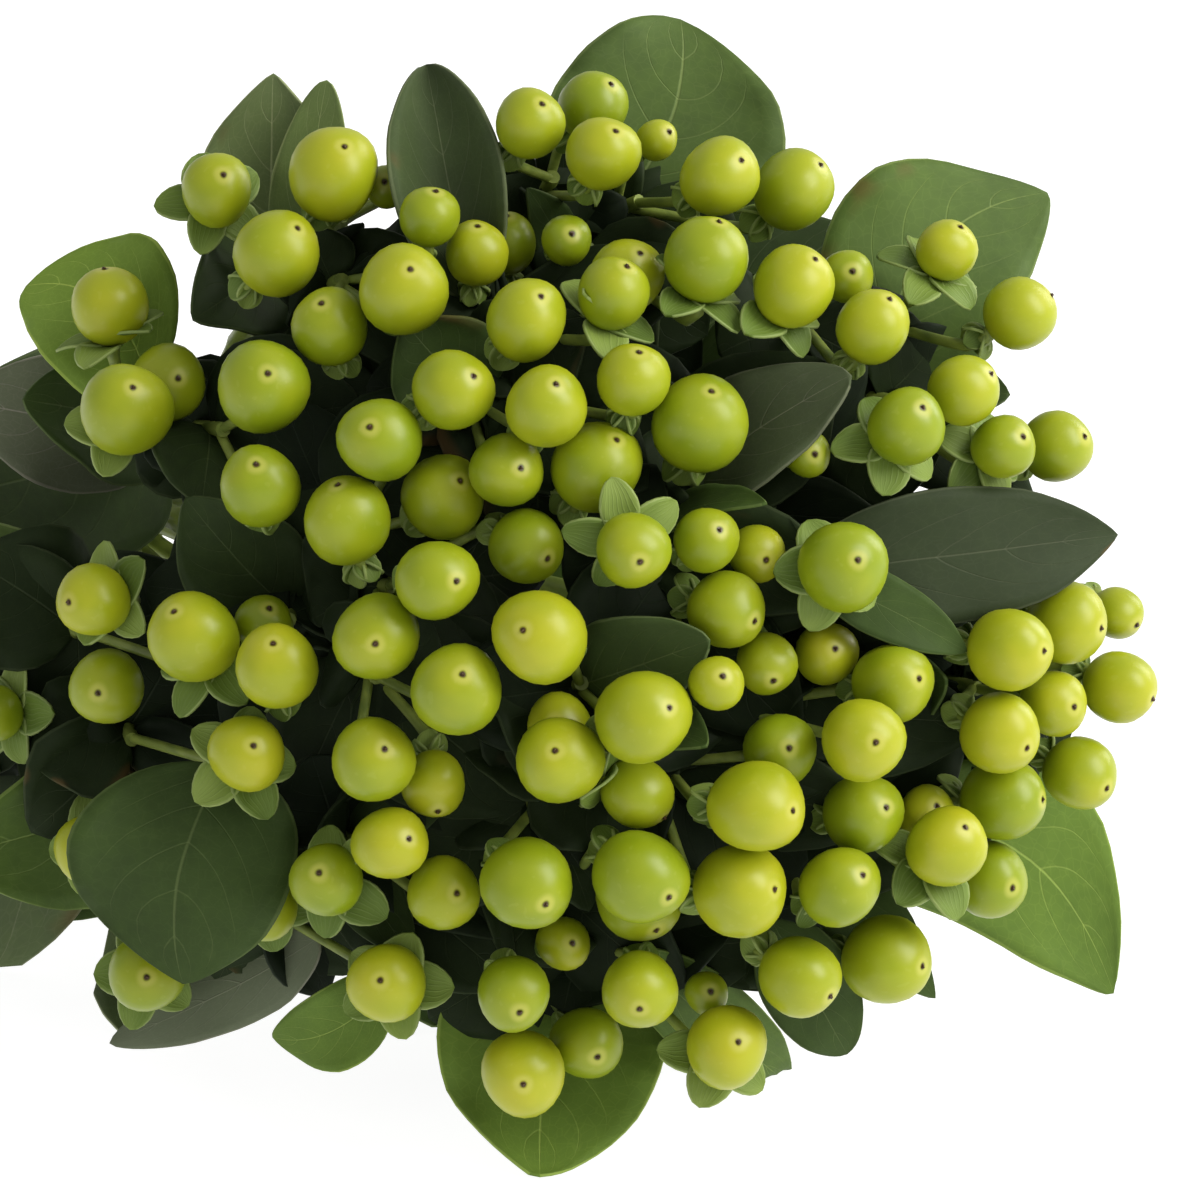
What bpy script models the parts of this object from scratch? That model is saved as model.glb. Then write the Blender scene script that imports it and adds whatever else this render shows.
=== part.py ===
# Hypericum berry bunch: leafy stems with berries, sepals and leaves, held by a rubber band.
# The layout is worked out in millimetres and the meshes are made in metres, +Z up.
# The bunch lies on a surface: the berry head at -Y, the cut ends of the stems at +Y.

import math

import bmesh
import bpy
import numpy as np
from mathutils import Vector
from mathutils.bvhtree import BVHTree

MM = 0.001

# Where the head faces, and how high it lies
HEAD_TURN = math.radians(-25)
HEAD_RISE = math.radians(20)
HEAD_HEIGHT = 98
VIEW_DISTANCE = 1000
DOME = 80
LAYER_STEP = 7

# Bundle of stems
BAND_PLACE = np.array([12.0, 250.0, 38.2])
BUNDLE_SLOPE = math.radians(10)
STEM_RADIUS = 2.2
CROWN_RADIUS = 1.6
BRANCH_RADIUS = 1.2
PEDICEL_RADIUS = 0.9
PEDICEL_STEP = 2.8
BRANCH_STEP = 7
STEM_PITCH = 2.45
ROD_STEPS = 6
ROD_SIDES = 5
AHEAD_OF_CROWN = 60
BEFORE_BAND = 80
TAIL_LENGTH = 138
TAIL_STEP = 5
TAIL_SPLAY = 4
CROWN_BACK = 46
FORK_SHARE = 0.42
KNEE_REACH = 4
GAP = 0.6
PUSH_STEP = 0.5
ROUNDS = 240

# Band
BAND_WIDTH = 7
BAND_THICKNESS = 1.3
BAND_CLEARANCE = 0.3
BAND_SIDES = 18

# Blades
LEAF_THICKNESS = 0.9
SEPAL_THICKNESS = 0.8
SEPAL_LENGTH = 9.5
SEPAL_WIDTH = 6.5
SHORT_SEPAL = 3
SHORT_SEPAL_LEAN = math.radians(60)
TURNED_SPREADS = (85, 95)
BACK_LEAF_STEP = 32
BACK_LEAF_LENGTH = 58
BACK_LEAF_SHRINK = 5
BACK_LEAF_WIDTH = 34
BACK_LEAF_LEVELS = 4
HIDE_RADIUS = 68
OUTER_PART = 0.15
BLUNTNESS = 0.55
WAVES = 1.5
WAVE_LAG = 1.4
WAVE_DEPTH = 0.12
FLAT_DIP = 26

# Angles at which neighbouring faces merge, and at which an edge shows as sharp
FLAT_ENOUGH = math.radians(1)
SHARP = math.radians(50)

RIGHT = np.array([math.cos(HEAD_TURN), math.sin(HEAD_TURN), 0])
UP = np.array([
    -math.sin(HEAD_TURN) * math.sin(HEAD_RISE),
    math.cos(HEAD_TURN) * math.sin(HEAD_RISE),
    math.cos(HEAD_RISE),
])
FRONT = np.cross(RIGHT, UP)
HEAD = np.array([0, 0, HEAD_HEIGHT])
BUNDLE = np.array([0, math.cos(BUNDLE_SLOPE), -math.sin(BUNDLE_SLOPE)])
BUNDLE_UP = np.array([0, math.sin(BUNDLE_SLOPE), math.cos(BUNDLE_SLOPE)])

# Each stem holds sprays, and each spray holds berries: across and up on the head's face,
# diameter, where the tip lies from the berry's middle, layer from the front, and how wide
# its sepals spread in degrees (0 leaves them to the berry's base)
BERRIES = {
    "top": [
        [(-10.5, 71.5, 11, 2, 3, 0, 0), (-1, 74, 11, 3, 3, 1, 0), (0.5, 67, 11.5, 2, 3.5, 0, 0)],
        [(18, 63.5, 12.5, 3.5, 2, 0, 0), (29, 61.5, 12.5, 4, 3.5, 1, 0), (8.5, 69, 6.5, 2, 1, 1, 0)],
        [(16, 51, 13, 2, 5.5, 0, 95), (-5, 54, 8, 1, 1, 2, 0)],
    ],
    "top_right": [
        [(41, 41, 11.5, 2.5, 4, 0, 0), (37, 48.5, 8.5, 0.5, 0.5, 1, 0), (29, 47, 12.5, 3, 4, 0, 95)],
        [(52, 52.5, 9.5, 2, 3.5, 0, 95), (63, 43, 11.5, 5, 3, 0, 0)],
        [(46, 26, 12, 2.5, 2.5, 0, 100), (54.5, 31.5, 11, 4, 2.5, 0, 0),
         (60.5, 23, 10, 3, 1.5, 0, 95), (68.5, 23, 11, 4, 1.5, 1, 0)],
    ],
    "right": [
        [(61.5, -7.5, 13, 5, -0.5, 0, 0), (70, -3.5, 13, 5.5, -1, 1, 0), (77.5, -2, 8.5, 3, -2, 2, 0)],
        [(60, -20, 12.5, 4, -2, 0, 0), (68, -15.5, 10.5, 3, -0.5, 1, 0), (78, -13, 11.5, 5, -2, 1, 0)],
        [(60.5, -30, 13, 6, 0, 0, 0), (72, -26, 11.5, 4, -2, 1, 0)],
    ],
    "low_right": [
        [(52, -37, 12.5, 2.5, 3, 0, 95), (58.5, -42, 12, 3.5, -1, 1, 0), (49, -32, 9, 1.5, 1.5, 2, 0)],
        [(39.5, -32, 12.5, 3.5, 1, 1, 0), (36, -43, 12.5, 3.5, 2, 0, 0)],
        [(30, -56.5, 12.5, 4.5, -3, 0, 0), (43, -54, 14, 5.5, -0.5, 1, 0)],
    ],
    "bottom": [
        [(-13, -59, 11.5, 1, -2.5, 0, 0), (-11.5, -71, 13.5, 0.5, -1.5, 0, 0), (-2, -66.5, 11.5, 2, -2, 1, 0)],
        [(6, -58.5, 12, 0, -3, 0, 0), (19, -67, 13, 1.5, 1.5, 0, 90), (16, -59, 7, 0.5, 0.5, 2, 0)],
        [(6, -41.5, 14.5, 4, -3, 0, 0), (6, -44.5, 13.5, 2.5, -5, 1, 0), (-5.5, -51.5, 8.5, 1.5, 0.5, 2, 0)],
    ],
    "low_left": [
        [(-41, -42, 11.5, -1, 1, 0, 100), (-50.5, -46, 11, 0, -1, 1, 95)],
        [(-32, -57.5, 12.5, -1, 0.5, 0, 85), (-68, -56, 12.5, 0.5, 0, 1, 90)],
        [(-31.5, -36.5, 11.5, 3, 1, 0, 0), (-23.5, -44, 11.5, 2, 0.5, 1, 0)],
    ],
    "left": [
        [(-61, -5.5, 14, -2.5, 4, 0, 100), (-76, 0, 11.5, -3.5, 0, 0, 80), (-100.5, 0, 11.5, -4, 1.5, 1, 90)],
        [(-74, -13, 12, -1, -1, 1, 0), (-91, -17, 9.5, -3.5, 0, 1, 85), (-99, -30, 11.5, -3, -1, 1, 90)],
        [(-53, -23, 12, 1, 1.5, 0, 95), (-76.5, -37.5, 11.5, -1, 0, 1, 100)],
    ],
    "high_left": [
        [(-65, 32.5, 12.5, 2, 0.5, 1, 0), (-71, 28.5, 14.5, 2, 3, 0, 90), (-73.5, 44, 12.5, -0.5, 6, 1, 90)],
        [(-50.5, 32, 14.5, 1, 2, 0, 0), (-51, 17, 12.5, 0, 3, 0, 0)],
    ],
    "top_left": [
        [(-57.5, 61.5, 11.5, 1, 2, 0, 90), (-48.5, 52, 13.5, 3.5, 3.5, 0, 0)],
        [(-40, 64, 14.5, 1.5, 4, 0, 0), (-32, 62, 7, 0, 0.5, 1, 0), (-24.5, 68, 6.5, 0.5, 1, 2, 0)],
        [(-40.5, 41, 12, -1, 3.5, 0, 0), (-29.5, 46.5, 14, 1, 2.5, 0, 0), (-25.5, 57.5, 9.5, 1, 4, 0, 0)],
    ],
    "middle_high": [
        [(-18.5, 52, 10, 0.5, 4, 0, 0), (-14, 53.5, 9.5, 0, 4, 1, 0)],
        [(-11, 42, 12.5, 2.5, 3, 0, 0), (2, 46, 11, 2, 4, 0, 90), (4, 48.5, 11.5, 2, 3, 1, 0)],
        [(-22, 31.5, 12.5, 3.5, 2, 0, 0), (-8, 29, 12.5, 2, 3, 0, 0), (-14, 19.5, 11.5, 2.5, 0.5, 0, 0)],
        [(5, 33, 11, 1, 4, 0, 0), (-0.5, 20, 14, 3, 4, 0, 0)],
    ],
    "middle_left": [
        [(-33, 24, 13, -1, 1.5, 0, 0), (-23.5, 15.5, 13, 3, 2, 0, 0), (-38, 12, 13.5, -1.5, 5.5, 0, 0)],
        [(-24.5, 3, 12.5, 3, 0, 0, 0), (-11, 8, 11.5, 3.5, -2, 2, 0), (-33.5, -5.5, 13.5, 0, -1, 0, 0)],
        [(-48.5, -10, 13, -0.5, 3.5, 0, 0), (-50.5, -3.5, 9, 1, 2.5, 1, 0)],
        [(-21.5, -13.5, 14, 1, 2, 0, 0), (-34, -24, 13, 2, 1.5, 0, 0), (-25, -27.5, 10, 0.5, -4, 1, 0)],
    ],
    "middle_right": [
        [(15, 26.5, 15, 1.5, 5, 0, 0), (31, 22, 7.5, 1, 0, 2, 0)],
        [(5, 7.5, 11.5, 1, -2, 0, 100), (16, 9, 10, 2, 1.5, 1, 0), (23.5, 7, 9, 1.5, -1, 2, 0)],
        [(19, -1.5, 12, 4.5, -1.5, 1, 0), (25, -9.5, 9.5, 1, -2.5, 1, 0), (17.5, -12.5, 8.5, 1, 1, 0, 0)],
        [(36.5, 5, 14, 2, 0.5, 0, 100), (34, -8, 10, 1.5, 0.5, 2, 0)],
    ],
    "middle_low": [
        [(-9, -5.5, 14.5, -2.5, 1, 0, 0), (6.5, -17.5, 14.5, 4, 1.5, 0, 0)],
        [(-6, -24, 13.5, -0.5, 2, 0, 0), (-6, -19, 10.5, -0.5, 1, 2, 0), (5.5, -29, 11, 4, -4, 1, 95)],
        [(-11, -42.5, 14, 3, -2.5, 0, 0)],
        [(23.5, -31, 14.5, 5.5, 0, 0, 0), (27, -22.5, 11.5, 1.5, 0.5, 1, 0), (21, -43.5, 14.5, 5.5, 0.5, 0, 0)],
        [(39.5, -21, 13, 1.5, 0, 0, 0), (44, -12.5, 12.5, 4, 0.5, 1, 0)],
    ],
}

# Where each stem lies in the band: angle round the bundle, and 0 inside or 1 outside
SLOTS = {
    "top": (75, 1), "top_right": (35, 1), "right": (-5, 1), "low_right": (-45, 1),
    "bottom": (-85, 1), "low_left": (-125, 1), "left": (-165, 1), "high_left": (155, 1),
    "top_left": (115, 1),
    "middle_high": (90, 0), "middle_left": (180, 0), "middle_right": (0, 0), "middle_low": (-90, 0),
}
SLOT_RADIUS = (STEM_PITCH * math.sqrt(2), STEM_PITCH * (2 + math.sqrt(2)))

# Leaves that show in the head: stem, spray, where it grows (millimetres behind the spray's
# fork, or below 0 the share of the way from the fork to the first berry's pedicel), tip across
# and up, tip's depth behind the dome, width, roll in degrees, arch, sideways bow, cup
LEAVES = [
    ("top", 1, 6, 12, 87, 14, 38, 0, 4, 4, 0.12),
    ("top", 1, 20, 30, 66, 14, 18, 30, 3, 0, 0.12),
    ("top", 2, 14, -11, 62, 10, 15, -30, 3, 0, 0.12),
    ("top_right", 2, 4, 67, 61, 16, 32, 0, 4, -8, 0.12),
    ("top_right", 2, 26, 62, 31, 14, 20, 20, 3, 0, 0.12),
    ("right", 0, 26, 66, -2, 14, 18, -25, 3, 0, 0.12),
    ("low_right", 0, 0, 77, -59, 14, 30, 0, -3, -11, 0.12),
    ("right", 1, 12, 52, -12, 8, 14, -20, 2, 0, 0.12),
    ("right", 0, 20, 38, 12, 12, 16, 0, 2, 0, 0.12),
    ("low_right", 2, -0.5, 37, -68, 12, 15, 0, 3, 0, 0.12),
    ("low_right", 1, 8, 48, -61.5, 12, 13, 10, 3, 0, 0.12),
    ("bottom", 1, 8, -9, -87, -9, 36, 0, -5, 2, 0.12),
    ("bottom", 1, -0.7, 27, -76.5, 10, 14, 0, 3, 0, 0.12),
    ("low_left", 1, -0.95, -49, -65.5, 6, 13, 0, 3, -3, 0.12),
    ("low_left", 1, -0.4, -73.5, -66.5, 12, 13, 160, 3, 0, 0.12),
    ("low_left", 2, 8, -23, -36, 8, 11, 0, 2, 0, 0.12),
    ("low_left", 2, 14, -28, -54, 10, 12, 0, 2, 0, 0.12),
    ("left", 2, -0.9, -62.5, -57.5, -8, 35, 0, 5, 4, 0.12),
    ("left", 1, 34, -97, -60, 38, 32, 10, 4, 0, 0.12),
    ("left", 0, 26, -97, 12, 14, 26, 15, 4, 0, 0.12),
    ("left", 1, 22, -99, -8, 12, 22, -15, 3, 0, 0.12),
    ("high_left", 0, 34, -96, 30, 16, 24, 10, 4, 0, 0.12),
    ("high_left", 0, 0, -86, 47, 12, 26, 0, 3, 6, 0.12),
    ("high_left", 1, 10, -60, 14, 10, 20, 10, 3, 0, 0.12),
    ("top_left", 0, 30, -49, 79, 12, 25, 0, 3, 0, 0.12),
    ("top_left", 1, 20, -41, 78, 14, 12, 0, 2, 0, 0.12),
    ("top_left", 0, 16, -61, 42, 10, 20, 0, 3, 0, 0.12),
    ("middle_high", 0, -0.9, -23, 80, 14, 22, 0, 3, 0, 0.9),
    ("middle_high", 2, 2, -27, 43.5, 6, 19, 0, 2, 0, 0.3),
    ("middle_left", 2, 6, -57, 18, 10, 20, 10, 3, 0, 0.12),
    ("middle_left", 2, 12, -57, 2, 8, 16, 0, 2, 0, 0.12),
    ("middle_left", 1, 8, -41, 6, 6, 11, 0, 2, 0, 0.12),
    ("middle_right", 3, -0.8, 77, 4, 10, 21, 0, 4, 0, 0.12),
    ("middle_right", 0, 8, 39, 31, 5, 19, 25, 3, 0, 0.2),
    ("middle_right", 1, 10, 25, 14.5, 2, 13, 65, 3, 0, 0.12),
    ("middle_right", 3, -0.9, 56, -5, 4, 10, 10, 2, 0, 0.12),
    ("middle_low", 0, 4, 16.5, -6, 4, 17, 0, 3, 0, 0.12),
    ("middle_low", 3, 12, 16, -22, 8, 13, 60, 3, 0, 0.12),
]

# Leaves under the head that lie flat on the surface and hold the bunch up: stem, how far
# behind the crown it grows, tip's x and y, width
FLOOR_LEAVES = [
    ("low_right", 24, 52, 46, 28),
    ("low_left", 50, -45, 87, 26),
]


def unit(vector):
    return vector / np.linalg.norm(vector)


def seen(across, up, depth):
    """Place of a point that shows at (across, up) on the head's face, this far back."""
    spread = 1 + depth / VIEW_DISTANCE
    return HEAD + (RIGHT * across + UP * up) * spread - FRONT * depth


def dome_depth(across, up):
    return (across ** 2 + up ** 2) / (2 * DOME)


# Layout of berries and stems

def settle_berries():
    """Each berry's middle: on the dome, pushed straight back until it is clear."""
    placed = []
    order = []
    for stem, sprays in BERRIES.items():
        for spray, berries in enumerate(sprays):
            for number, berry in enumerate(berries):
                order.append((berry[5], len(order), stem, spray, number, berry))
    places = {}
    for layer, _, stem, spray, number, berry in sorted(order, key=lambda item: item[:2]):
        across, up, diameter = berry[:3]
        radius = diameter / 2
        depth = dome_depth(across, up) + LAYER_STEP * layer
        place = seen(across, up, depth)
        while any(np.linalg.norm(place - other) < radius + reach + GAP for other, reach in placed):
            depth += PUSH_STEP
            place = seen(across, up, depth)
        placed.append((place, radius))
        places[stem, spray, number] = place
    return places


def slot_place(stem, along, splay=0):
    """A stem's place in the bundle, this far behind the band."""
    angle, ring = SLOTS[stem]
    angle = math.radians(angle)
    side = np.array([math.cos(angle), 0, 0]) + BUNDLE_UP * math.sin(angle)
    return BAND_PLACE + BUNDLE * along + side * (SLOT_RADIUS[ring] + splay * (0.5 + 0.5 * ring))


class Layout:
    """Points joined by bones: berries, pedicels, branches and stems."""

    def __init__(self):
        self.points = []
        self.freedom = []
        self.on_sight = []
        self.bones = []

    def point(self, place, freedom, on_sight=False):
        self.points.append(place)
        self.freedom.append(freedom)
        self.on_sight.append(on_sight)
        return len(self.points) - 1

    def bone(self, first, last, radius, stem, is_berry=False):
        self.bones.append((first, last, radius, stem, is_berry))

    def spread_out(self):
        """Move the points apart, a little at a time, until no bones of two stems touch."""
        points = np.array(self.points)
        freedom = np.array(self.freedom)
        sight = np.array(self.on_sight)
        first = np.array([bone[0] for bone in self.bones])
        last = np.array([bone[1] for bone in self.bones])
        radius = np.array([bone[2] for bone in self.bones])
        stem = np.array([list(BERRIES).index(bone[3]) for bone in self.bones])
        berry = np.array([bone[4] for bone in self.bones])
        a, b = np.triu_indices(len(self.bones), 1)
        shared = (first[a] == first[b]) | (last[a] == last[b])
        shared |= (first[a] == last[b]) | (last[a] == first[b])
        test = ((stem[a] != stem[b]) | berry[a] | berry[b]) & ~shared
        a, b = a[test], b[test]
        eye = seen(0, 0, -VIEW_DISTANCE)
        need = radius[a] + radius[b] + GAP
        for _ in range(ROUNDS):
            start_a, start_b = points[first[a]], points[first[b]]
            run_a, run_b = points[last[a]] - start_a, points[last[b]] - start_b
            s, t = nearest_shares(start_a, run_a, start_b, run_b)
            apart = start_a + run_a * s[:, None] - start_b - run_b * t[:, None]
            distance = np.maximum(np.linalg.norm(apart, axis=1), 1e-6)
            push = np.clip(need - distance, 0, None)
            if push.max() < 0.02:
                break
            shove = apart / distance[:, None] * (push * 0.5)[:, None]
            move = np.zeros_like(points)
            count = np.full(len(points), 1e-9)
            for ends, share, sign, bones in ((first, 1 - s, 1, a), (last, s, 1, a),
                                             (first, 1 - t, -1, b), (last, t, -1, b)):
                np.add.at(move, ends[bones], sign * shove * share[:, None])
                np.add.at(count, ends[bones], (push > 0) * share)
            move /= np.maximum(count, 0.5)[:, None] ** 0.5
            away = points - eye
            away /= np.linalg.norm(away, axis=1)[:, None]
            back = np.clip((move * away).sum(axis=1), 0, None)
            move[sight] = (away * back[:, None])[sight]
            points += move * freedom[:, None]
        self.points = list(points)


def nearest_shares(p, u, q, v):
    """Shares along the lines p + u and q + v, each from 0 to 1, where they come nearest."""
    w = p - q
    uu = (u * u).sum(axis=1)
    vv = (v * v).sum(axis=1)
    uv = (u * v).sum(axis=1)
    uw = (u * w).sum(axis=1)
    vw = (v * w).sum(axis=1)
    cross = uu * vv - uv * uv
    s = np.where(cross > 1e-9, (uv * vw - vv * uw) / np.where(cross > 1e-9, cross, 1), 0)
    s = np.clip(s, 0, 1)
    t = np.clip(np.where(vv > 1e-9, (uv * s + vw) / np.where(vv > 1e-9, vv, 1), 0), 0, 1)
    s = np.clip(np.where(uu > 1e-9, (uv * t - uw) / np.where(uu > 1e-9, uu, 1), 0), 0, 1)
    return s, t


def lay_out():
    """Plan of every stem: its berries, forks, crown and rod, as places."""
    berries = settle_berries()
    layout = Layout()
    plan = {}
    for stem, sprays in BERRIES.items():
        middles = [np.mean([berries[stem, k, n] for n in range(len(spray))], axis=0)
                   for k, spray in enumerate(sprays)]
        middle = np.mean(middles, axis=0)
        crown_place = middle + unit(BAND_PLACE - middle) * CROWN_BACK
        crown = layout.point(crown_place, 0.3)
        slot = slot_place(stem, 0)
        rod = [crown]
        ahead = crown_place + unit(BAND_PLACE - crown_place) * AHEAD_OF_CROWN
        before = slot - BUNDLE * BEFORE_BAND
        for step in range(1, ROD_STEPS):
            t = step / ROD_STEPS
            place = ((1 - t) ** 3 * crown_place + 3 * (1 - t) ** 2 * t * ahead
                     + 3 * (1 - t) * t ** 2 * before + t ** 3 * slot)
            rod.append(layout.point(place, 0.3 if step < ROD_STEPS - 1 else 0))
        rod.append(layout.point(slot, 0))
        length = TAIL_LENGTH - TAIL_STEP * ((list(BERRIES).index(stem) + 2) % 3)
        rod.append(layout.point(slot_place(stem, length, TAIL_SPLAY), 0))
        for first, last in zip(rod, rod[1:]):
            layout.bone(first, last, STEM_RADIUS, stem)
        plan[stem] = {"rod": rod, "sprays": []}
        for k, spray in enumerate(sprays):
            fork = layout.point(middles[k] + (crown_place - middles[k]) * FORK_SHARE, 0.6)
            join = crown
            if k:
                join_place = crown_place + unit(ahead - crown_place) * BRANCH_STEP * k
                join = layout.point(join_place, 0.3)
            layout.bone(fork, join, BRANCH_RADIUS, stem)
            members = []
            for n, berry in enumerate(spray):
                radius = berry[2] / 2
                tip = np.array(berry[3:5]) / (radius * 1.02)
                axis = RIGHT * tip[0] + UP * tip[1] + FRONT * math.sqrt(max(0.05, 1 - tip @ tip))
                axis = unit(axis)
                place = berries[stem, k, n]
                middle_point = layout.point(place, 1, True)
                knee = layout.point(place - axis * (radius + KNEE_REACH), 1)
                layout.bone(middle_point, middle_point, radius, stem, True)
                layout.bone(middle_point, knee, PEDICEL_RADIUS, stem)
                layout.bone(knee, fork, PEDICEL_RADIUS, stem)
                members.append({"middle": middle_point, "knee": knee, "radius": radius,
                                "axis": axis, "layer": berry[5], "spread": berry[6]})
            plan[stem]["sprays"].append({"fork": fork, "berries": members})
    layout.spread_out()
    points = layout.points
    for stem in plan.values():
        stem["rod"] = [points[index] for index in stem["rod"]]
        crown = stem["rod"][0]
        down = unit(stem["rod"][1] - crown)
        for k, spray in enumerate(stem["sprays"]):
            spray["fork"] = points[spray["fork"]]
            spray["join"] = crown + down * BRANCH_STEP * k
            spray["path"] = [spray["fork"], spray["join"]] + stem["rod"][1:]
            for berry in spray["berries"]:
                berry["middle"] = points[berry["middle"]]
                berry["knee"] = points[berry["knee"]]
    return plan


def along_path(path, distance):
    """Point on a run of places, this far from its start."""
    for first, last in zip(path, path[1:]):
        step = np.linalg.norm(last - first)
        if distance <= step:
            return first + (last - first) * distance / step
        distance -= step
    return path[-1]


# Shape of a blade

def blade(base, tip, width, facing, roll=0, arch=3, phase=0.0, bow=0, cup=0.12):
    """A leaf or sepal: its midrib, side and face directions, and its outline."""
    run = tip - base
    side = np.cross(unit(run), facing)
    side = unit(side)
    face = np.cross(side, unit(run))
    turn = math.radians(roll)
    side, face = (side * math.cos(turn) + face * math.sin(turn),
                  face * math.cos(turn) - side * math.sin(turn))
    return {"base": base, "tip": tip, "width": width, "side": side, "face": face, "arch": arch,
            "phase": phase, "bow": bow, "cup": cup}


def half_width(leaf, t):
    """Half of the blade's width at share t of its length: ovate, broadest below its middle."""
    return leaf["width"] / 2 * math.sin(math.pi * min(1, t) ** 0.8) ** BLUNTNESS


def blade_point(leaf, t, s, floor):
    """Point of the blade's middle surface, t along it and s from -1 to 1 across, and its normal."""
    middle = (leaf["base"] + leaf["tip"]) / 2 + leaf["face"] * leaf["arch"] * 2
    middle = middle + leaf["side"] * leaf["bow"] * 2
    place = (1 - t) ** 2 * leaf["base"] + 2 * (1 - t) * t * middle + t * t * leaf["tip"]
    half = half_width(leaf, t)
    ripple = math.sin(2 * math.pi * WAVES * t + leaf["phase"] + (WAVE_LAG if s > 0 else 0))
    lift = s * s * half * (leaf["cup"] + WAVE_DEPTH * ripple)
    place = place + leaf["side"] * s * half + leaf["face"] * lift
    if place[2] < floor:
        flat = np.array([0, 0, 1.0 if leaf["face"][2] > 0 else -1.0])
        return np.array([place[0], place[1], floor]), flat
    return place, leaf["face"]


# Shares of a blade's length and half width where its mesh has points
LEAF_ROWS = (0, 0.28, 0.66, 1)
LEAF_COLUMNS = (-1, 0, 1)


def blade_mesh(leaf, thickness, rows, columns):
    """Closed thin solid of a blade: two alike faces and a rim, all triangles."""
    bm = bmesh.new()
    floor = thickness / 2
    sheets = []
    for sign in (1, -1):
        grid = []
        for t in rows:
            across = columns if 0 < t < 1 else (0,)
            points = [blade_point(leaf, t, s, floor) for s in across]
            grid.append([bm.verts.new(Vector((place + normal * sign * thickness / 2) * MM))
                         for place, normal in points])
        sheets.append(grid)
    upper, lower = sheets
    for grid, order in ((upper, 1), (lower, -1)):
        for near, far in zip(grid, grid[1:]):
            if len(near) == 1:
                for i in range(len(far) - 1):
                    bm.faces.new((near[0], far[i + 1], far[i])[::order])
                continue
            for i in range(len(near) - 1):
                if len(far) == 1:
                    triangles = [(near[i], near[i + 1], far[0])]
                elif i < len(near) // 2:
                    triangles = [(near[i], near[i + 1], far[i + 1]), (near[i], far[i + 1], far[i])]
                else:
                    triangles = [(near[i], near[i + 1], far[i]), (near[i + 1], far[i + 1], far[i])]
                for corners in triangles:
                    bm.faces.new(corners[::order])
    edge_upper = [row[0] for row in upper] + [row[-1] for row in reversed(upper[:-1])]
    edge_lower = [row[0] for row in lower] + [row[-1] for row in reversed(lower[:-1])]
    if len(upper[0]) == 1:
        edge_upper.pop()
        edge_lower.pop()
    edge_upper += upper[0][-2:0:-1]
    edge_lower += lower[0][-2:0:-1]
    count = len(edge_upper)
    for i in range(count):
        j = (i + 1) % count
        bm.faces.new((edge_upper[i], edge_upper[j], edge_lower[j]))
        bm.faces.new((edge_upper[i], edge_lower[j], edge_lower[i]))
    bmesh.ops.recalc_face_normals(bm, faces=bm.faces)
    return bm


# Round pieces

def swept_mesh(path, radii, sides):
    """Closed round solid along a run of places. A radius of 0 ends it in a point, and a ring
    may have twice the sides of the one before it."""
    bm = bmesh.new()
    rings = []
    directions = [unit(b - a) for a, b in zip(path, path[1:])]
    across = RIGHT + UP * 0.3
    for index, (place, radius, count) in enumerate(zip(path, radii, sides)):
        before = directions[max(0, index - 1)]
        after = directions[min(index, len(directions) - 1)]
        heading = unit(before + after)
        across = unit(across - heading * (across @ heading))
        upward = np.cross(heading, across)
        if radius == 0:
            rings.append([bm.verts.new(Vector(place * MM))])
            continue
        ring = []
        for k in range(count):
            angle = 2 * math.pi * k / count
            point = place + (across * math.cos(angle) + upward * math.sin(angle)) * radius
            point = np.array([point[0], point[1], max(point[2], 0)])
            ring.append(bm.verts.new(Vector(point * MM)))
        rings.append(ring)
    for near, far in zip(rings, rings[1:]):
        count = len(near)
        for k in range(count):
            m = (k + 1) % count
            if len(far) == 1:
                bm.faces.new((near[k], near[m], far[0]))
            elif len(far) == count:
                bm.faces.new((near[k], near[m], far[m]))
                bm.faces.new((near[k], far[m], far[k]))
            else:
                bm.faces.new((near[k], near[m], far[2 * k + 1]))
                bm.faces.new((near[k], far[2 * k + 1], far[2 * k]))
                bm.faces.new((near[m], far[2 * m], far[2 * k + 1]))
    bm.faces.new(rings[0][::-1])
    if len(rings[-1]) > 1:
        bm.faces.new(rings[-1])
    bmesh.ops.recalc_face_normals(bm, faces=bm.faces)
    return bm


# Heights and radii of a berry, as shares of its radius, from its base to its tip
BERRY_PROFILE = ((-0.66, 0.76), (-0.02, 1.0), (0.64, 0.78), (1.04, 0))
DEEP_PROFILE = ((-0.4, 0.94), (0.45, 0.88), (1.0, 0))
BIG_BERRY = 6.7


def berry_mesh(berry, root):
    """A berry and its pedicel, from its root inside the branch to the berry's tip."""
    layer = berry["layer"]
    profile = BERRY_PROFILE if layer < 2 else DEEP_PROFILE
    radius = berry["radius"]
    stalk_sides = 4 if layer < 1 and radius > BIG_BERRY else 3
    base = berry["middle"] - berry["axis"] * radius * 0.97
    path = [root + unit(root - berry["knee"]) * 0.5, berry["knee"], base]
    radii = [PEDICEL_RADIUS] * 2 + [PEDICEL_RADIUS * 1.25]
    sides = [stalk_sides] * 3
    for height, share in profile:
        path.append(berry["middle"] + berry["axis"] * height * radius)
        radii.append(radius * share)
        sides.append(2 * stalk_sides)
    return swept_mesh(path, radii, sides)


def branch_mesh(fork, join):
    heading = unit(join - fork)
    return swept_mesh([fork - heading, join + heading * 0.3], [BRANCH_RADIUS, BRANCH_RADIUS], [4, 4])


def rod_mesh(rod):
    path = [rod[0] - unit(rod[1] - rod[0]) * 1.5] + rod[1:]
    last = len(path) - 1
    radii = [CROWN_RADIUS + (STEM_RADIUS - CROWN_RADIUS) * min(1, i / (last - 3))
             for i in range(last + 1)]
    return swept_mesh(path, radii, [ROD_SIDES] * len(path))


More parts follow.
